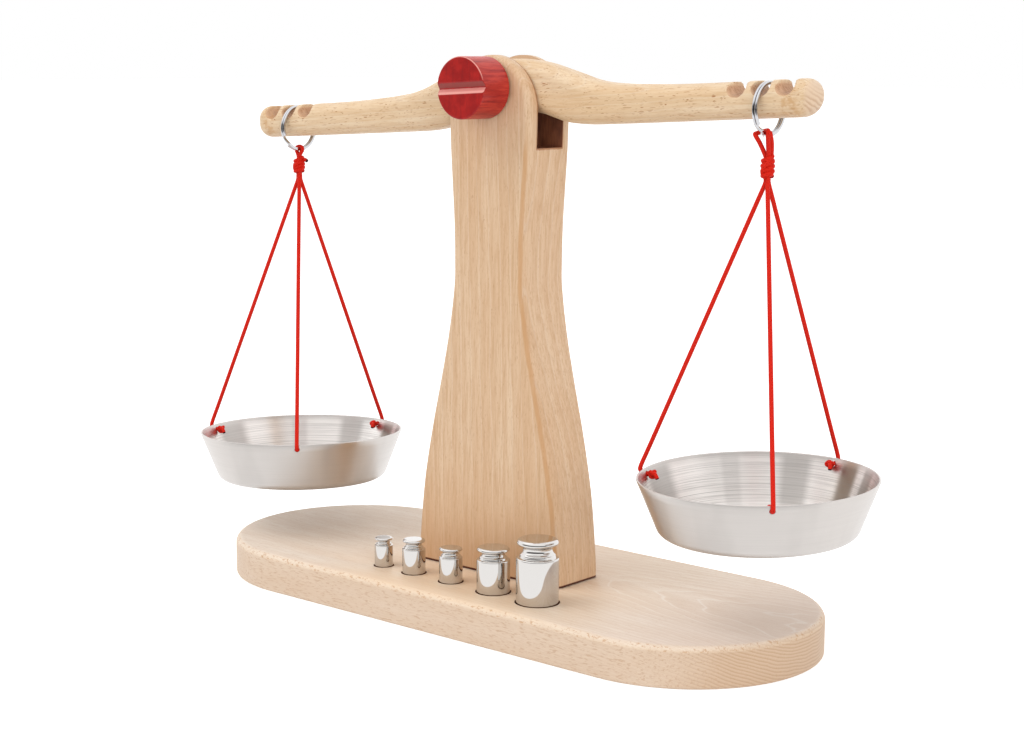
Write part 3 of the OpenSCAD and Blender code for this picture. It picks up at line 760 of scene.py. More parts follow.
def burnt_wood(name, grain, tone, edge, pale=None, pale_from=0.0):
    """Wood darkened by the cutter, as the sockets and the slot show it; in the slot the dark tone is also
    painted shade deep inside. It can turn pale above a height.
    """
    tree = material_tree(name)
    place, (along, across, up) = wood_place(tree, grain)
    streak = tree.noise(tree.vector(along * 0.12, across * 1.2, up * 1.2), 1.0, 3.0, 0.6)
    cloud = tree.noise(tree.vector(across, along, up), 0.12)
    colour = mix((streak * 0.6 + cloud * 0.5).spread(0.35, 0.8), tone, edge)
    if pale:
        colour = mix(place[2].spread(pale_from, pale_from + 4), colour, pale)
    return tree.principled(Base_Color=colour, Roughness=0.6, Normal=tree.bump(streak, 0.4, 0.15))


def red_stain(name):
    """Red stained and lacquered knob: end grain on its face, grain along the axle on its side, with painted
    highlights on its groove and rim.
    """
    tree = material_tree(name)
    _, (along, across, up) = wood_place(tree, "Y", 0, (0, 0, AXLE_Z))
    streak = tree.noise(tree.vector(along * 0.05, across * 0.6, up * 0.6), 1.0, 4.0, 0.65)
    grain = tree.noise(tree.vector(along * 0.25, across * 3.0, up * 3.0), 1.0, 3.0, 0.6)
    cloud = tree.noise(tree.vector(along, across, up), 0.22, 3.0)
    bands = tree.noise(tree.vector(0.0, across * 0.9, up * 0.12), 1.0)
    _, facing, tilt = tree.normal()
    side_tone = mix(streak.spread(0.38, 0.62), srgb(196, 60, 48), srgb(166, 38, 34))
    side_tone = mix(streak.spread(0.6, 0.68), side_tone, srgb(132, 26, 28))
    face_tone = mix(cloud.spread(0.35, 0.65), srgb(178, 33, 29), srgb(156, 25, 24))
    face_tone = mix(bands.spread(0.5, 0.7) * 0.4, face_tone, srgb(130, 24, 26))
    colour = mix(abs(facing).spread(0.5, 0.9), side_tone, face_tone)
    colour = mix(grain.spread(0.5, 0.75) * 0.3, colour, srgb(126, 24, 26))

    # Painted highlight on the groove's walls: both are painted paler than the face, the one that faces up
    # palest
    inside = along.spread(KNOB_FACE_Y + 0.1, KNOB_FACE_Y + 0.35) * up.within(-4.0, 4.0, 0.3)
    inside = inside * facing.spread(-0.3, -0.5) * abs(tilt).spread(0.3, 0.55)
    groove_highlight_tone = mix(tilt.spread(-0.2, 0.3), srgb(150, 68, 62), srgb(222, 140, 132))
    colour = mix(inside * 0.85, colour, groove_highlight_tone)

    # Painted highlight: a paler line along the face's rounded rim where it faces up
    rim = facing.within(-0.82, -0.4, 0.12) * tilt.spread(0.1, 0.45)
    rim = rim * along.spread(KNOB_FACE_Y + 0.9, KNOB_FACE_Y + 0.6)
    colour = mix(rim * 0.75, colour, srgb(240, 170, 158))
    return tree.principled(
        Base_Color=colour, Roughness=grain.spread(0.3, 0.7, 0.38, 0.5), Specular_IOR_Level=0.15,
        Normal=tree.bump(grain + streak * 0.5, 0.2, 0.06), Coat_Weight=0.2, Coat_Roughness=0.12)


def red_cord(name, tone, shade_tone, strands=8, pitch=1.5):
    """Braided cord: two sets of strands that cross, drawn on the cord's own map."""
    tree = material_tree(name)
    around, along = tree.surface_map()
    half, run = around * (strands / 2), along / pitch
    lean_a, lean_b = half + run, half - run
    wave_a, wave_b = (abs(tree.math("SINE", lean * pi)) for lean in (lean_a, lean_b))
    over, under = (tree.math("SINE", lean * pi) for lean in (lean_a + lean_b, lean_a - lean_b))
    share = (over * under).spread(-0.4, 0.4)
    height = wave_a * share + wave_b * (1.0 - share)
    fuzz = tree.noise(tree.vector(around * 30.0, along * 5.0, 0.0), 1.0)
    # Painted shade: the hollows between the crossing strands take the shade tone
    colour = mix(height.spread(0.05, 0.6), shade_tone, tone)
    colour = mix(fuzz * 0.3, colour, shade_tone)
    return tree.principled(
        Base_Color=colour, Roughness=0.55, Normal=tree.bump(height + fuzz * 0.3, 0.5, 0.12),
        Specular_IOR_Level=0.12)


def brushed_steel(name, tone, dark, roughness, bands):
    """Sheet steel brushed round the pan, on the lathe's own map. Its lines close on themselves, and its
    bands are painted reflections on the wall's inside.
    """
    tree = material_tree(name)
    around, along = tree.surface_map()
    turn = around * (2 * pi)
    cosine, sine = tree.math("COSINE", turn), tree.math("SINE", turn)

    def round_pan(pace_round, pace_up):
        return tree.vector(cosine * pace_round, sine * pace_round, along * pace_up)

    line = tree.noise(round_pan(1.1, 2.6), 1.0, 3.0, 0.75)
    scratch = tree.noise(round_pan(0.5, 5.0), 1.0, 2.0, 0.6)
    band = tree.noise(round_pan(3.0, 0.02), 1.0)
    inner = along.spread(62.0, 66.0) * along.spread(84.0, 91.0, 1.0, 0.25)
    wall = along.spread(62.0, 66.0) * along.fall(83.0, 88.0)
    colour = mix(band.spread(0.45, 0.7) * 0.15, tone, dark)

    # Painted reflections: light and dark bands on the inside of the wall, for what the wall reflects round
    # the pan
    for middle, half, strength, reflection_tone in bands:
        here = (around * 360.0).within(middle - half, middle + half, half * 1.2)
        colour = mix(here * wall * strength, colour, reflection_tone)
    for marks in (line.spread(0.44, 0.72), scratch.spread(0.52, 0.66)):
        colour = mix(marks * ((inner * 0.8 + 0.1) * 0.5), colour, dark)
    return tree.principled(
        Base_Color=colour, Metallic=1.0, Roughness=line.spread(0.3, 0.7, roughness - 0.03, roughness + 0.05),
        Normal=tree.bump(line, 0.15, 0.04), Anisotropic=0.85, Anisotropic_Rotation=0.25,
        Tangent=tree.value("Tangent", direction_type="RADIAL", axis="Z"))


def polished_steel(name, tone, roughness):
    """Bright steel with the faint unevenness of handling."""
    tree = material_tree(name)
    place = tree.value("TexCoord", output="Object")
    cloud = tree.noise(place, 160.0, 3.0, 0.6)
    return tree.principled(
        Base_Color=mix(cloud * 0.12, tone, (0.7, 0.7, 0.72, 1)), Metallic=1.0,
        Roughness=cloud.spread(0.35, 0.7, roughness, roughness + 0.04),
        Normal=tree.bump(tree.noise(place, 1500.0), 0.02, 0.02))


MATERIALS = {
    "board": wood(
        "board_beech", "X", srgb(235, 216, 197), srgb(214, 187, 162), srgb(243, 228, 212),
        srgb(192, 152, 114), pith=(8, 111), taper=-0.055, ring_width=1.3, ring_share=0.2, pale_share=0.75,
        pale=srgb(247, 236, 224), ring_gain=(-60.0, 110.0, 0.2, 1.0), wave=2.0, fibre_share=0.35,
        fleck_share=0.45, fleck_size=(2.0, 0.4), touches=(
            warm_bounce_light, rosy_right, end_grain(srgb(214, 183, 152), srgb(188, 147, 112), 0.75), rim_highlight_and_specks)),
    "pillar": wood(
        "pillar_beech", "Z", srgb(221, 186, 150), srgb(199, 156, 114), srgb(229, 199, 166),
        srgb(170, 118, 78), pith=(60, -52), taper=0.05, ring_width=5.0, ring_share=0.22, wave=2.5,
        fibre_share=0.6, fleck_share=0.45, fleck_size=(2.8, 0.36),
        touches=(warm_foot, edge_streak, slot_rim_scorch_and_shade, foot_gap_shade)),
    "beam": wood(
        "beam_beech", "X", srgb(227, 196, 157), srgb(208, 168, 122), srgb(236, 212, 180), srgb(170, 114, 66),
        pith=(-46, 34), taper=0.02, ring_width=2.8, ring_share=0.22, fibre_share=0.5, fleck_share=0.95,
        fleck_size=(3.4, 0.44), fleck_from=0.12, tilt=-REST_TURN, middle=(0, MIDDLE_Y, AXLE_Z),
        roughness=0.44, touches=(notch_walls, beam_ends)),
    "dowel": wood(
        "dowel_beech", "Y", srgb(222, 194, 160), srgb(196, 158, 118), srgb(232, 210, 180),
        srgb(168, 116, 74), pith=(8, 6), ring_width=1.6,
        touches=(end_grain(srgb(206, 172, 136), srgb(180, 142, 104), 0.8, axis=1),)),
    # Slot and bore walls: partly burnt by the cutter and partly painted shade deep in the slot, pale near
    # the slot's top
    "burnt": burnt_wood(
        "burnt_and_shaded_beech", "Z", srgb(104, 58, 38), srgb(150, 92, 62), srgb(214, 180, 146), SLOT_DARK_TOP),
    # Rounded rims of the slot and bore: partly scorched by the cutter, partly painted shade of the gap
    # beside the beam
    "scorched": burnt_wood(
        "scorched_and_shaded_edge", "Z", srgb(158, 96, 52), srgb(200, 140, 90)),
    "socket": burnt_wood("socket_beech", "X", srgb(116, 68, 42), srgb(160, 106, 70)),
    "red": red_stain("red_stained_wood"),
    "cord": red_cord("braided_cord", srgb(223, 39, 22), srgb(164, 16, 10)),
    "cord_end": red_cord("cut_cord_end", srgb(120, 20, 20), srgb(60, 12, 14), strands=12, pitch=0.6),
    # The pan's bands are painted reflections: middle and half width in degrees round the pan, strength, tone
    "pan": brushed_steel("brushed_steel", (0.62, 0.585, 0.56, 1), (0.36, 0.34, 0.32, 1), 0.36, bands=(
        (130, 200, 0.9, (0.88, 0.84, 0.81, 1)),
        (52, 3, 0.6, (0.22, 0.18, 0.15, 1)), (70, 4, 0.8, (0.24, 0.19, 0.15, 1)),
        (88, 7, 0.7, (1.0, 0.97, 0.94, 1)), (103, 5, 0.55, (0.34, 0.32, 0.3, 1)),
        (138, 3, 0.35, (0.5, 0.47, 0.45, 1)), (186, 7, 0.6, (0.3, 0.27, 0.25, 1)))),
    "ring": polished_steel("ring_steel_bright", (0.56, 0.56, 0.58, 1), 0.06),
    "weight": polished_steel("mirror_steel", (0.62, 0.6, 0.58, 1), 0.025),
    "screw": polished_steel("zinc_screw", (0.72, 0.72, 0.74, 1), 0.25),
}


# ---------------------------------------------------------------- camera, floor, light

def camera():
    azimuth, elevation = radians(CAMERA_AZIMUTH), radians(CAMERA_ELEVATION)
    yaw, pitch, roll = (radians(a) for a in (CAMERA_YAW, CAMERA_PITCH, CAMERA_ROLL))
    back = Vector((
        sin(azimuth) * cos(elevation), -cos(azimuth) * cos(elevation),
        sin(elevation)))
    forward = Vector((-sin(yaw) * cos(pitch), cos(yaw) * cos(pitch), sin(pitch)))
    level = Vector((cos(yaw), sin(yaw), 0))
    upright = level.cross(forward)
    right = level * cos(roll) + upright * sin(roll)
    up = upright * cos(roll) - level * sin(roll)
    data = bpy.data.cameras.new("camera")
    data.lens = CAMERA_LENS
    data.sensor_width = SENSOR_WIDTH
    data.clip_start = 0.01
    data.clip_end = 50
    holder = add_object("camera", data)
    turn = Matrix((right, up, -forward)).transposed().to_4x4()
    holder.matrix_world = Matrix.Translation((CAMERA_AIM + back * CAMERA_DISTANCE) * MM) @ turn
    bpy.context.scene.camera = holder


def ray_kinds(tree):
    """Two values: 1 for a ray from the camera or one sent on by metal or glass, and 1 for metal alone."""
    path = tree.node("LightPath").outputs
    seen = tree.math("MAXIMUM", path["Is Camera Ray"], path["Is Glossy Ray"])
    return tree.math("MAXIMUM", seen, path["Is Transmission Ray"]), path["Is Glossy Ray"]


def along_direction(tree, vector, direction):
    """How far a place or direction lies along another direction."""
    return tree.value(
        "VectorMath", {0: vector, 1: Vector(direction).normalized()}, "Value", operation="DOT_PRODUCT")


def floor():
    """Pale floor that reads as white and keeps the object's shadow. Steel sees a darker room at its end."""
    mesh = bpy.data.meshes.new("floor")
    r, z = FLOOR_REACH, FLOOR_LEVEL
    mesh.from_pydata([(-r, -r, z), (r, -r, z), (r, r, z), (-r, r, z)], [], [(0, 1, 2, 3)])
    ground = add_object("floor", mesh)
    tree = material_tree("floor_paper")
    seen, mirrored_ray = ray_kinds(tree)

    def shader(kind, inputs):
        return tree.node(kind, inputs).outputs[0]

    diffuse = shader("BsdfDiffuse", {"Color": FLOOR_COLOUR})
    lit = shader("AddShader", {0: diffuse, 1: shader("Emission", {"Strength": FLOOR_GLOW})})
    plain = shader("MixShader", {0: seen, 1: diffuse, 2: lit})
    place = tree.value("TexCoord", output="Object")
    level = along_direction(tree, place, DARK_SIDE).spread(0.42, 0.62, PAPER_LEVEL, ROOM_LEVEL)
    paper = shader("Emission", {"Strength": level})
    tree.surface(tree.node("MixShader", {0: mirrored_ray, 1: plain, 2: paper}))
    mesh.materials.append(tree.owner)


def sky():
    """White surroundings: seen as white, and a plain even light on the object. Steel sees a darker room."""
    world = bpy.data.worlds.new("studio")
    bpy.context.scene.world = world
    tree = Tree(world, "OutputWorld")
    seen, mirrored_ray = ray_kinds(tree)
    direction = tree.value("TexCoord", output="Generated")
    low_down = tree.parts(direction)[2].fall(0.15, 0.5)
    zone = along_direction(tree, direction, DARK_SIDE).spread(0.15, 0.5) * low_down
    loss = zone * (PAPER_LEVEL - ROOM_LEVEL) - (PAPER_LEVEL - 1)
    window = along_direction(tree, direction, KEY_PLACE).spread(0.88, 0.96, 0.0, WINDOW_GAIN)
    strength = seen.spread(0, 1, SKY_LEVEL, 1.0) + (window - loss) * mirrored_ray
    tree.surface(tree.node("Background", {"Color": (1, 1, 1, 1), "Strength": strength}))


def lamp(name, place, size, power):
    """Round soft lamp, in metres and watts, that points at the object."""
    data = bpy.data.lights.new(name, "AREA")
    data.shape = "DISK"
    data.size = size
    data.energy = power
    holder = add_object(name, data)
    turn = (Vector(place) - LAMP_AIM).to_track_quat("Z", "Y").to_matrix().to_4x4()
    holder.matrix_world = Matrix.Translation(place) @ turn
    holder.visible_glossy = False


# ---------------------------------------------------------------- cords

def pan_outer_radius(drop):
    return PAN_RIM_RADIUS - drop * (PAN_RIM_RADIUS - PAN_BOTTOM_RADIUS) / PAN_HEIGHT


def pan_place(side):
    """Where a pan lies: on its plumb line, leaning a little about the middle of its bottom."""
    lean_x, lean_y = (radians(a) for a in PAN_LEAN[side])
    middle = Matrix.Translation((KNOT_X[side], MIDDLE_Y, PAN_LOW_Z[side]))
    return middle @ Matrix.Rotation(lean_y, 4, "Y") @ Matrix.Rotation(lean_x, 4, "X")


def pan_point(side, degrees, radius, drop, aside=0.0):
    """Point of a leaning pan, given by direction, radius and drop below the rim."""
    turn = radians(degrees)
    flat = Vector((radius * cos(turn), radius * sin(turn), PAN_HEIGHT - drop))
    return pan_place(side) @ (flat + Vector((-sin(turn), cos(turn), 0)) * aside)


def cord_points(side, which):
    """A cord leaves the bundle below its knot, bends over the rim and goes through its hole."""
    degrees = CORD_TURNS[side][which]
    turn = radians(degrees)
    low = KNOT_LOW_Z[side]
    clear = CORD_DIAMETER / 2 + 0.25
    outward = Vector((cos(turn), sin(turn), 0))
    plumb = Vector((KNOT_X[side], MIDDLE_Y, 0))

    def above(radius, height):
        return plumb + outward * radius + Vector((0, 0, height))

    def at_wall(out, drop):
        return pan_point(side, degrees, pan_outer_radius(drop) + out, drop)

    start = above(0.85, low - 3.4)
    over = at_wall(clear, -0.4)
    run = over - start
    points = [
        above(0.3, low + 2.4), above(0.5, low), above(0.62, low - 1.6), start,
        start + run * 0.05, start + run * 0.3, start + run * 0.6, start + run * 0.9, over,
        at_wall(clear, 1.1), at_wall(clear * 0.75, PAN_HOLE_DROP - 0.15), at_wall(0.1, PAN_HOLE_DROP),
        at_wall(-1.4, PAN_HOLE_DROP), at_wall(-2.2, PAN_HOLE_DROP)]
    return spaced(curve(points, 6), 0.45)


def cord(side, which):
    points = cord_points(side, which)
    name = f"cord_{side}_{which}"
    piece = make_piece(
        f"red_{name}", tube(points, round_section(CORD_DIAMETER / 2, 16)), f"pan_{side}", "red_cord",
        MATERIALS["cord"])
    piece.data.shade_smooth()
    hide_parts(name)
    tuple(points[0] * MM)
    length_of(points) * MM
    [tuple(p * MM) for p in points[::4] + [points[-1]]]


def hanging_knot(side):
    """Loop of cord round the ring, the knot with its wraps, and the cut tail."""
    x, top, low = KNOT_X[side], KNOT_TOP_Z[side], KNOT_LOW_Z[side]
    radius = CORD_DIAMETER / 2
    wraps_radius = KNOT_WIDTH / 2 - radius

    def strand(points, steps=6, size=radius, **ends):
        line = spaced(curve([Vector((x + p[0], MIDDLE_Y + p[1], p[2])) for p in points], steps), 0.3)
        return tube(line, round_section(size, 14), **ends)

    if side == "right":
        # The loop has slid a little to the front of the ring, and the cord passes twice on its right
        slide = radians(LOOP_SLIDE)
        wire = RING_Z[side] - RING_WIRE_RADIUS * cos(slide)
        y = -RING_WIRE_RADIUS * sin(slide)
        middle = (top + wire) / 2
        parts = [strand([
            (-0.4, 0.1, top - 3), (-0.9, -0.4, top - 0.4), (-2.2, y * 0.55, middle),
            (-3.0, y - 0.2, wire - 1.1), (-3.5, y + 1.2, wire - 0.6), (-2.5, y + 2.3, wire - 0.1),
            (-1.0, y + 2.5, wire + 0.3), (0.6, y + 2.0, wire + 0.6), (1.8, y + 1.1, wire + 0.6),
            (2.5, y, wire - 0.4), (1.6, y * 0.6, middle), (0.7, -0.6, top - 0.6),
            (0.4, -0.3, top - 3)])]
        parts.append(strand([
            (-2.2, y + 3.6, wire - 0.9), (-0.6, y + 3.9, wire - 0.5), (1.0, y + 3.4, wire - 0.2),
            (2.5, y + 1.7, wire - 0.8), (1.9, y * 0.4 + 1.1, middle), (1.0, 0.7, top - 0.4),
            (0.6, 0.5, top - 3)]))
        tail = [
            (-0.6, 0.9, top - 1.6), (-1.4, 1.9, top - 1.6), (-1.6, 2.9, top - 2.2), (-1.5, 3.6, top - 3.2)]
    else:
        wire = RING_Z[side] - RING_WIRE_RADIUS
        parts = [strand([
            (-0.3, 0.2, top - 3), (-0.6, 0.2, top - 0.2), (-1.1, 0.2, wire - 2.0), (-2.1, 0.3, wire - 0.4),
            (-1.9, 0.4, wire + 0.6), (-0.8, 0.5, wire + 1.15), (0.8, 0.4, wire + 1.15),
            (1.9, 0.2, wire + 0.6), (2.1, 0.1, wire - 0.4), (1.1, -0.1, wire - 2.0),
            (0.7, -0.3, top - 0.2), (0.5, -0.2, top - 3)])]
        tail = [(0.6, 0.6, top - 2.2), (1.9, 0.6, top - 1.5), (3.3, 0.5, top - 1.3), (4.9, 0.3, top - 1.9)]

    # Wraps that lean both ways round the core, and one strand that crosses them
    wrap = []
    foot = low - KNOT_REACH[side]
    steps = WRAP_TURNS * WRAP_STEPS
    for i in range(steps + 1):
        angle = 2 * pi * i / WRAP_STEPS + 0.6
        share = i / steps
        height = foot + radius + (top - foot - 2 * radius) * share + 0.5 * sin(angle + 0.7)
        waist = 1 - 0.16 * abs(2 * share - 1) ** 3
        bulge = wraps_radius * (waist + 0.03 * sin(3.1 * i))
        wrap.append((bulge * cos(angle), bulge * sin(angle), height))
    parts.append(strand(wrap, 4))
    parts.append(strand([
        (-0.4, -0.8, foot + 0.6), (-1.2, -1.7, foot + 2.4), (-0.2, -2.5, (foot + top) / 2),
        (1.3, -2.1, top - 3.0), (1.5, -1.2, top - 1.2), (0.6, -0.4, top - 0.6)], size=radius * 0.92))
    core = [Vector((x, MIDDLE_Y, foot + 0.5 + (top - foot - 1.0) * i / 8)) for i in range(9)]
    parts.append(tube(core, round_section(wraps_radius + 0.4, 14, 0.12)))
    parts.append(strand(tail, size=radius * 0.9, end_material=1))
    piece = make_piece(
        f"tied_knot_{side}", joined(parts), f"hanger_{side}", "red_cord",
        MATERIALS["cord"], MATERIALS["cord_end"])
    shade(piece, 60)
    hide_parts(f"hanging_knot_{side}")


def stop_knots(side):
    """The three small knots inside a pan, each with its cut end."""
    wall = pan_outer_radius(PAN_HOLE_DROP) - PAN_SHEET
    size = STOP_KNOT_DIAMETER / 2
    strand_radius = 0.78
    middle = wall - size - 0.1
    parts = []
    for which, degrees in CORD_TURNS[side].items():

        def at(a, b, c):
            return pan_point(side, degrees, middle + c, PAN_HOLE_DROP - b, a)

        loop = []
        for i in range(60):
            t = 2 * pi * i / 60
            grow = (size - strand_radius) / 3
            loop.append(at(
                grow * (sin(t) + 2 * sin(2 * t)), grow * (cos(t) - 2 * cos(2 * t)),
                -0.75 * sin(3 * t)))
        parts.append(tube(loop, round_section(strand_radius, 12), closed=True))
        parts.append(tube(
            [at(0, 0, -1.2 + 0.35 * i) for i in range(11)], round_section(0.95, 12)))
        lean = -1 if which in ("front", "back") else 1
        tail = curve([
            at(0.4 * lean, 0.2, -0.8), at(1.2 * lean, 0.3, -1.4), at(2.0 * lean, -0.3, -2.2),
            at(2.5 * lean, -1.3, -2.9)], 6)
        parts.append(tube(spaced(tail, 0.3), round_section(0.8, 12), end_material=1))
    piece = make_piece(
        f"tied_stop_knots_{side}", joined(parts), f"pan_{side}", "red_cord",
        MATERIALS["cord"], MATERIALS["cord_end"])
    shade(piece, 60)
    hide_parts(f"stop_knots_{side}")


# ---------------------------------------------------------------- wooden pieces

def base_board():
    rows = []
    for s in range(5):
        a = pi / 2 * s / 4
        rows.append((BOARD_LOW_ROUND * (1 - sin(a)), BOARD_LOW_ROUND * (1 - cos(a))))
    for s in range(11):
        a = pi / 2 * s / 10
        rows.append((BOARD_TOP_ROUND * (1 - cos(a)), BOARD_TOP + BOARD_TOP_ROUND * (sin(a) - 1)))
    bm = bmesh.new()
    straight = (BOARD_LENGTH - BOARD_WIDTH) / 2
    rings = []
    for inset, height in rows:
        radius = BOARD_WIDTH / 2 - inset
        line = arc((straight, 0), radius, -90, 90, 72) + arc((-straight, 0), radius, 90, 270, 72)
        rings.append([bm.verts.new((p[0], p[1], height)) for p in line])
    skin(bm, rings)
    board = make_piece("beech_base_board", bm, "stand", "beech_board", MATERIALS["board"])
    sockets = [
        cylinder(
            diameter / 2 + SOCKET_GAP, (place, WEIGHT_ROW_Y, BOARD_TOP - SOCKET_DEPTH),
            (place, WEIGHT_ROW_Y, BOARD_TOP + 2), 96)
        for diameter, _, _, place in WEIGHTS.values()]
    cut(board, sockets + screw_spaces(BOARD_TOP + 2), MATERIALS["socket"])
    soften_rims(board, 0.3)
    shade(board, 30)
    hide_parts("base_board")


def screw_spaces(height):
    """Spaces of the two screws: head recess, countersink and shank."""
    head_end = SCREW_RECESS + SCREW_HEAD_RADIUS - SCREW_RADIUS
    spaces = []
    for x in (-SCREW_X, SCREW_X):
        for radius, low, high, radius_end in (
                (SCREW_HEAD_RADIUS, -1, SCREW_RECESS + 0.01, None),
                (SCREW_HEAD_RADIUS, SCREW_RECESS, head_end, SCREW_RADIUS),
                (SCREW_RADIUS, head_end - 0.02, height, None)):
            spaces.append(cylinder(radius, (x, MIDDLE_Y, low), (x, MIDDLE_Y, high), 48, radius_end))
    return spaces


def pillar():
    side = curve(PILLAR_SIDE, 8)
    crown = arc((0, PILLAR_HEAD_Z), PILLAR_HEAD_RADIUS, 0, 180, 61)
    half = side + crown[1:31]
    shape = plate(half + mirrored(half), PILLAR_DEPTH, PILLAR_ROUND, stands=True)
    shape = moved(shape, Matrix.Translation((0, MIDDLE_Y, 0)))
    piece = make_piece("beech_pillar", shape, "stand", "beech_pillar", MATERIALS["pillar"])
    slot = block((-50, MIDDLE_Y - SLOT_WIDTH / 2, SLOT_FLOOR_Z), (50, MIDDLE_Y + SLOT_WIDTH / 2, 260))
    bore = cylinder(BORE_RADIUS, (0, -40, AXLE_Z), (0, 40, AXLE_Z), 96)
    cut(piece, [slot, bore], MATERIALS["burnt"])
    piece.data.materials.append(MATERIALS["scorched"])
    soften_rims(piece, 0.5, len(piece.data.materials) - 1)
    shade(piece, 30)
    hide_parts("pillar")


def on_axle(y):
    """Place of a piece on the axle, turned as the beam is at rest."""
    return Matrix.Translation((0, y, AXLE_Z)) @ Matrix.Rotation(radians(REST_TURN), 4, "Y")


def beam_edge(hub_z, arm_z, shares, turn, end_round):
    rise = [(HUB_REACH * r, arm_z + (hub_z - arm_z) * s) for r, s in zip(REACH_SHARES, shares)]
    middle = (BEAM_LENGTH / 2 - end_round, arm_z - copysign(end_round, turn))
    return curve(rise, 6) + arc(middle, end_round, turn, 0, 12)


def beam():
    edges = {}
    for side, (low_round, top_round) in BEAM_END_ROUNDS.items():
        edges[side] = (
            beam_edge(HUB_HOLLOW, ARM_LOW, LOW_RISE_SHARES, -90, low_round),
            beam_edge(HUB_CROWN, ARM_TOP, TOP_RISE_SHARES, 90, top_round))
    outline = mirrored(edges["left"][0][1:]) + edges["right"][0]
    outline += edges["right"][1][::-1] + mirrored(edges["left"][1][:0:-1])
    shape = moved(plate(outline, BEAM_THICK, BEAM_ROUND), on_axle(MIDDLE_Y))
    piece = make_piece("beech_beam", shape, "beam", "beech_beam", MATERIALS["beam"])
    narrow, wide = (round_section(radius, 48)(0) for radius in (NOTCH_RADIUS, NOTCH_MOUTH_RADIUS))
    spaces = []
    for place in [sign * p for sign in (-1, 1) for p in NOTCH_PLACES]:
        line = [
            Vector((place, y, NOTCH_LOW + (NOTCH_RADIUS if abs(y) < 6 else NOTCH_MOUTH_RADIUS)))
            for y in (-8.6, -5, 5, 8.6)]
        notch = tube(line, lambda share: wide if share in (0, 1) else narrow)
        spaces.append(moved(notch, on_axle(MIDDLE_Y)))
    spaces.append(cylinder(BORE_RADIUS + 0.3, (0, -30, AXLE_Z), (0, 30, AXLE_Z), 48))
    cut(piece, spaces)
    remesh(piece, voxel=0.5, smooth_steps=4)
    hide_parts("beam")


def knob():
    flat = KNOB_RADIUS - KNOB_EDGE
    profile = [(0, 0), (flat, 0), *arc((flat, KNOB_EDGE), KNOB_EDGE, -90, 0, 4)[1:]]
    profile += [(KNOB_RADIUS, KNOB_LENGTH / 2), *arc((flat, KNOB_LENGTH - KNOB_EDGE), KNOB_EDGE, 0, 90, 4)]
    turn = on_axle(KNOB_BACK_Y) @ Matrix.Rotation(radians(90), 4, "X")
    shape = moved(lathe(profile + [(0, KNOB_LENGTH)], 128), turn)
    piece = make_piece("red_knob", shape, "knob", "red_wood", MATERIALS["red"])
    groove = bmesh.new()
    wide, top, low = KNOB_GROOVE_HALF, KNOB_LENGTH + 1, KNOB_LENGTH - KNOB_GROOVE_DEPTH
    skin(groove, [
        [groove.verts.new(p) for p in ((x, -wide, top), (x, 0, low), (x, wide, top))] for x in (-30, 30)])
    bore = cylinder(BORE_RADIUS, (0, KNOB_BACK_Y + 1, AXLE_Z), (0, KNOB_BACK_Y - KNOB_BORE_DEPTH, AXLE_Z))
    cut(piece, [moved(groove, turn), bore])
    remesh(piece, voxel=0.2, smooth_steps=1)
    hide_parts("turning_knob")


# ---------------------------------------------------------------- steel pieces

def split_ring(side):
    """Two turns of flattened wire, with the step where one turn passes to the other."""
    middle = Vector((KNOT_X[side], MIDDLE_Y, RING_Z[side]))
    radius = RING_RADIUS - RING_WIRE / 2
    wire = []
    for s in range(16):
        a = 2 * pi * s / 16
        wire.append([
            half * copysign(abs(v) ** square, v)
            for half, square, v in zip(RING_WIRE_HALF, RING_WIRE_SQUARE, (cos(a), sin(a)))])
    bm = bmesh.new()
    rings = []
    for i in range(RING_STEPS + 1):
        turn = RING_STEP_HALF + (720 - 2 * RING_STEP_HALF) * i / RING_STEPS
        share = min(1, max(0, (turn - (360 - RING_STEP_HALF)) / (2 * RING_STEP_HALF)))
        share = share * share * (3 - 2 * share)
        a = radians(RING_START[side] + turn)
        outward, across = Vector((0, cos(a), sin(a))), Vector((1, 0, 0))
        point = middle + outward * radius + across * (RING_STEP * (share - 0.5))
        rings.append([bm.verts.new(point + across * u + outward * v) for u, v in wire])
    skin(bm, rings)
    piece = make_piece(f"steel_ring_{side}", bm, f"ring_{side}", "ring_steel", MATERIALS["ring"])
    shade(piece, 50)
    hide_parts(f"ring_{side}")


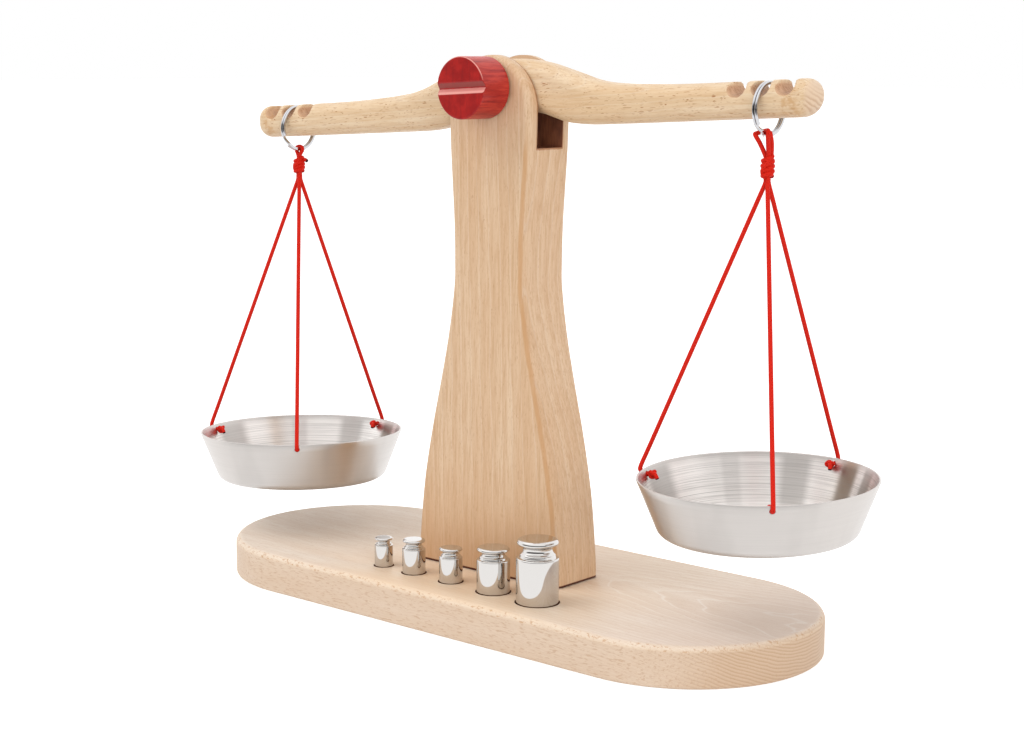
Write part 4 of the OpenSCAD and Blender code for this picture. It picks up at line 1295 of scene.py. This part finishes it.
def pan(side):
    lean = atan((PAN_RIM_RADIUS - PAN_BOTTOM_RADIUS) / PAN_HEIGHT) * 180 / pi
    outer = PAN_CORNER + PAN_SHEET
    middle = (PAN_BOTTOM_RADIUS - outer * tan(radians((90 - lean) / 2)), outer)
    half = PAN_SHEET / cos(radians(lean)) / 2
    rim = arc((PAN_RIM_RADIUS - half, PAN_HEIGHT - half), half, 0, 180, 6)
    low_corner, high_corner = arc(middle, outer, -90, -lean, 10), arc(middle, PAN_CORNER, -lean, -90, 10)
    profile = [(r, 0) for r in (0, 6, 12, 18, 24, 29)] + low_corner
    profile += [low_corner[-1].lerp(rim[0], s / 6) for s in range(1, 6)] + rim
    profile += [rim[-1].lerp(high_corner[0], s / 6) for s in range(1, 6)] + high_corner
    profile += [(r, PAN_SHEET) for r in (29, 24, 18, 12, 6, 0)]
    shape = moved(lathe(profile, 192), pan_place(side))
    piece = make_piece(f"steel_pan_{side}", shape, f"pan_{side}", "pan_steel", MATERIALS["pan"])
    holes = []
    for degrees in CORD_TURNS[side].values():
        start, end = (pan_point(side, degrees, radius, PAN_HOLE_DROP) for radius in (40, 55))
        holes.append(cylinder(PAN_HOLE_RADIUS, start, end, 32))
    cut(piece, holes)
    shade(piece, 40)
    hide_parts(f"pan_{side}")


def weight(name):
    diameter, height, body, place = WEIGHTS[name]
    radius, low, body_top, upper = diameter / 2, WEIGHT_FOOT_GAP, body + SOCKET_DEPTH, height - body
    bevel, shoulder = 0.05 * radius, 0.07 * radius
    profile = [(0, low), (radius - bevel, low), *arc((radius - bevel, low + bevel), bevel, -90, 0, 4)[1:]]
    profile += [(radius, body_top * 0.5)]
    profile += arc((radius - shoulder, body_top - shoulder * 0.6), shoulder, 0, 80, 5)
    profile += curve([(radius * a, body_top + upper * b) for a, b in WEIGHT_NECK], 3)
    profile += [(radius * 0.3, body_top + upper), (0, body_top + upper)]
    bm = lathe(profile, 128, (place, WEIGHT_ROW_Y, BOARD_TOP - SOCKET_DEPTH))
    piece = make_piece(f"steel_{name}", bm, name, "weight_steel", MATERIALS["weight"])
    shade(piece, 35)
    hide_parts(name)


def dress_node(node, material):
    """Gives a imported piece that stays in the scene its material."""
    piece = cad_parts[node]
    for slot_at in range(len(piece.material_slots)):
        piece.material_slots[slot_at].material = material
    if not piece.material_slots:
        piece.data.materials.append(material)


# ---------------------------------------------------------------- the scene

camera()
for side in KNOT_X:
    for which in CORD_TURNS[side]:
        cord(side, which)
    hanging_knot(side)
    stop_knots(side)
    split_ring(side)
    pan(side)
base_board()
pillar()
beam()
knob()
for name in WEIGHTS:
    weight(name)
dress_node("axle_dowel", MATERIALS["dowel"])
dress_node("pillar_screws", MATERIALS["screw"])

floor()
sky()
lamp("key", KEY_PLACE, KEY_SIZE, KEY_POWER)
lamp("fill", FILL_PLACE, FILL_SIZE, FILL_POWER)
bpy.context.scene.view_settings.view_transform = "Standard"
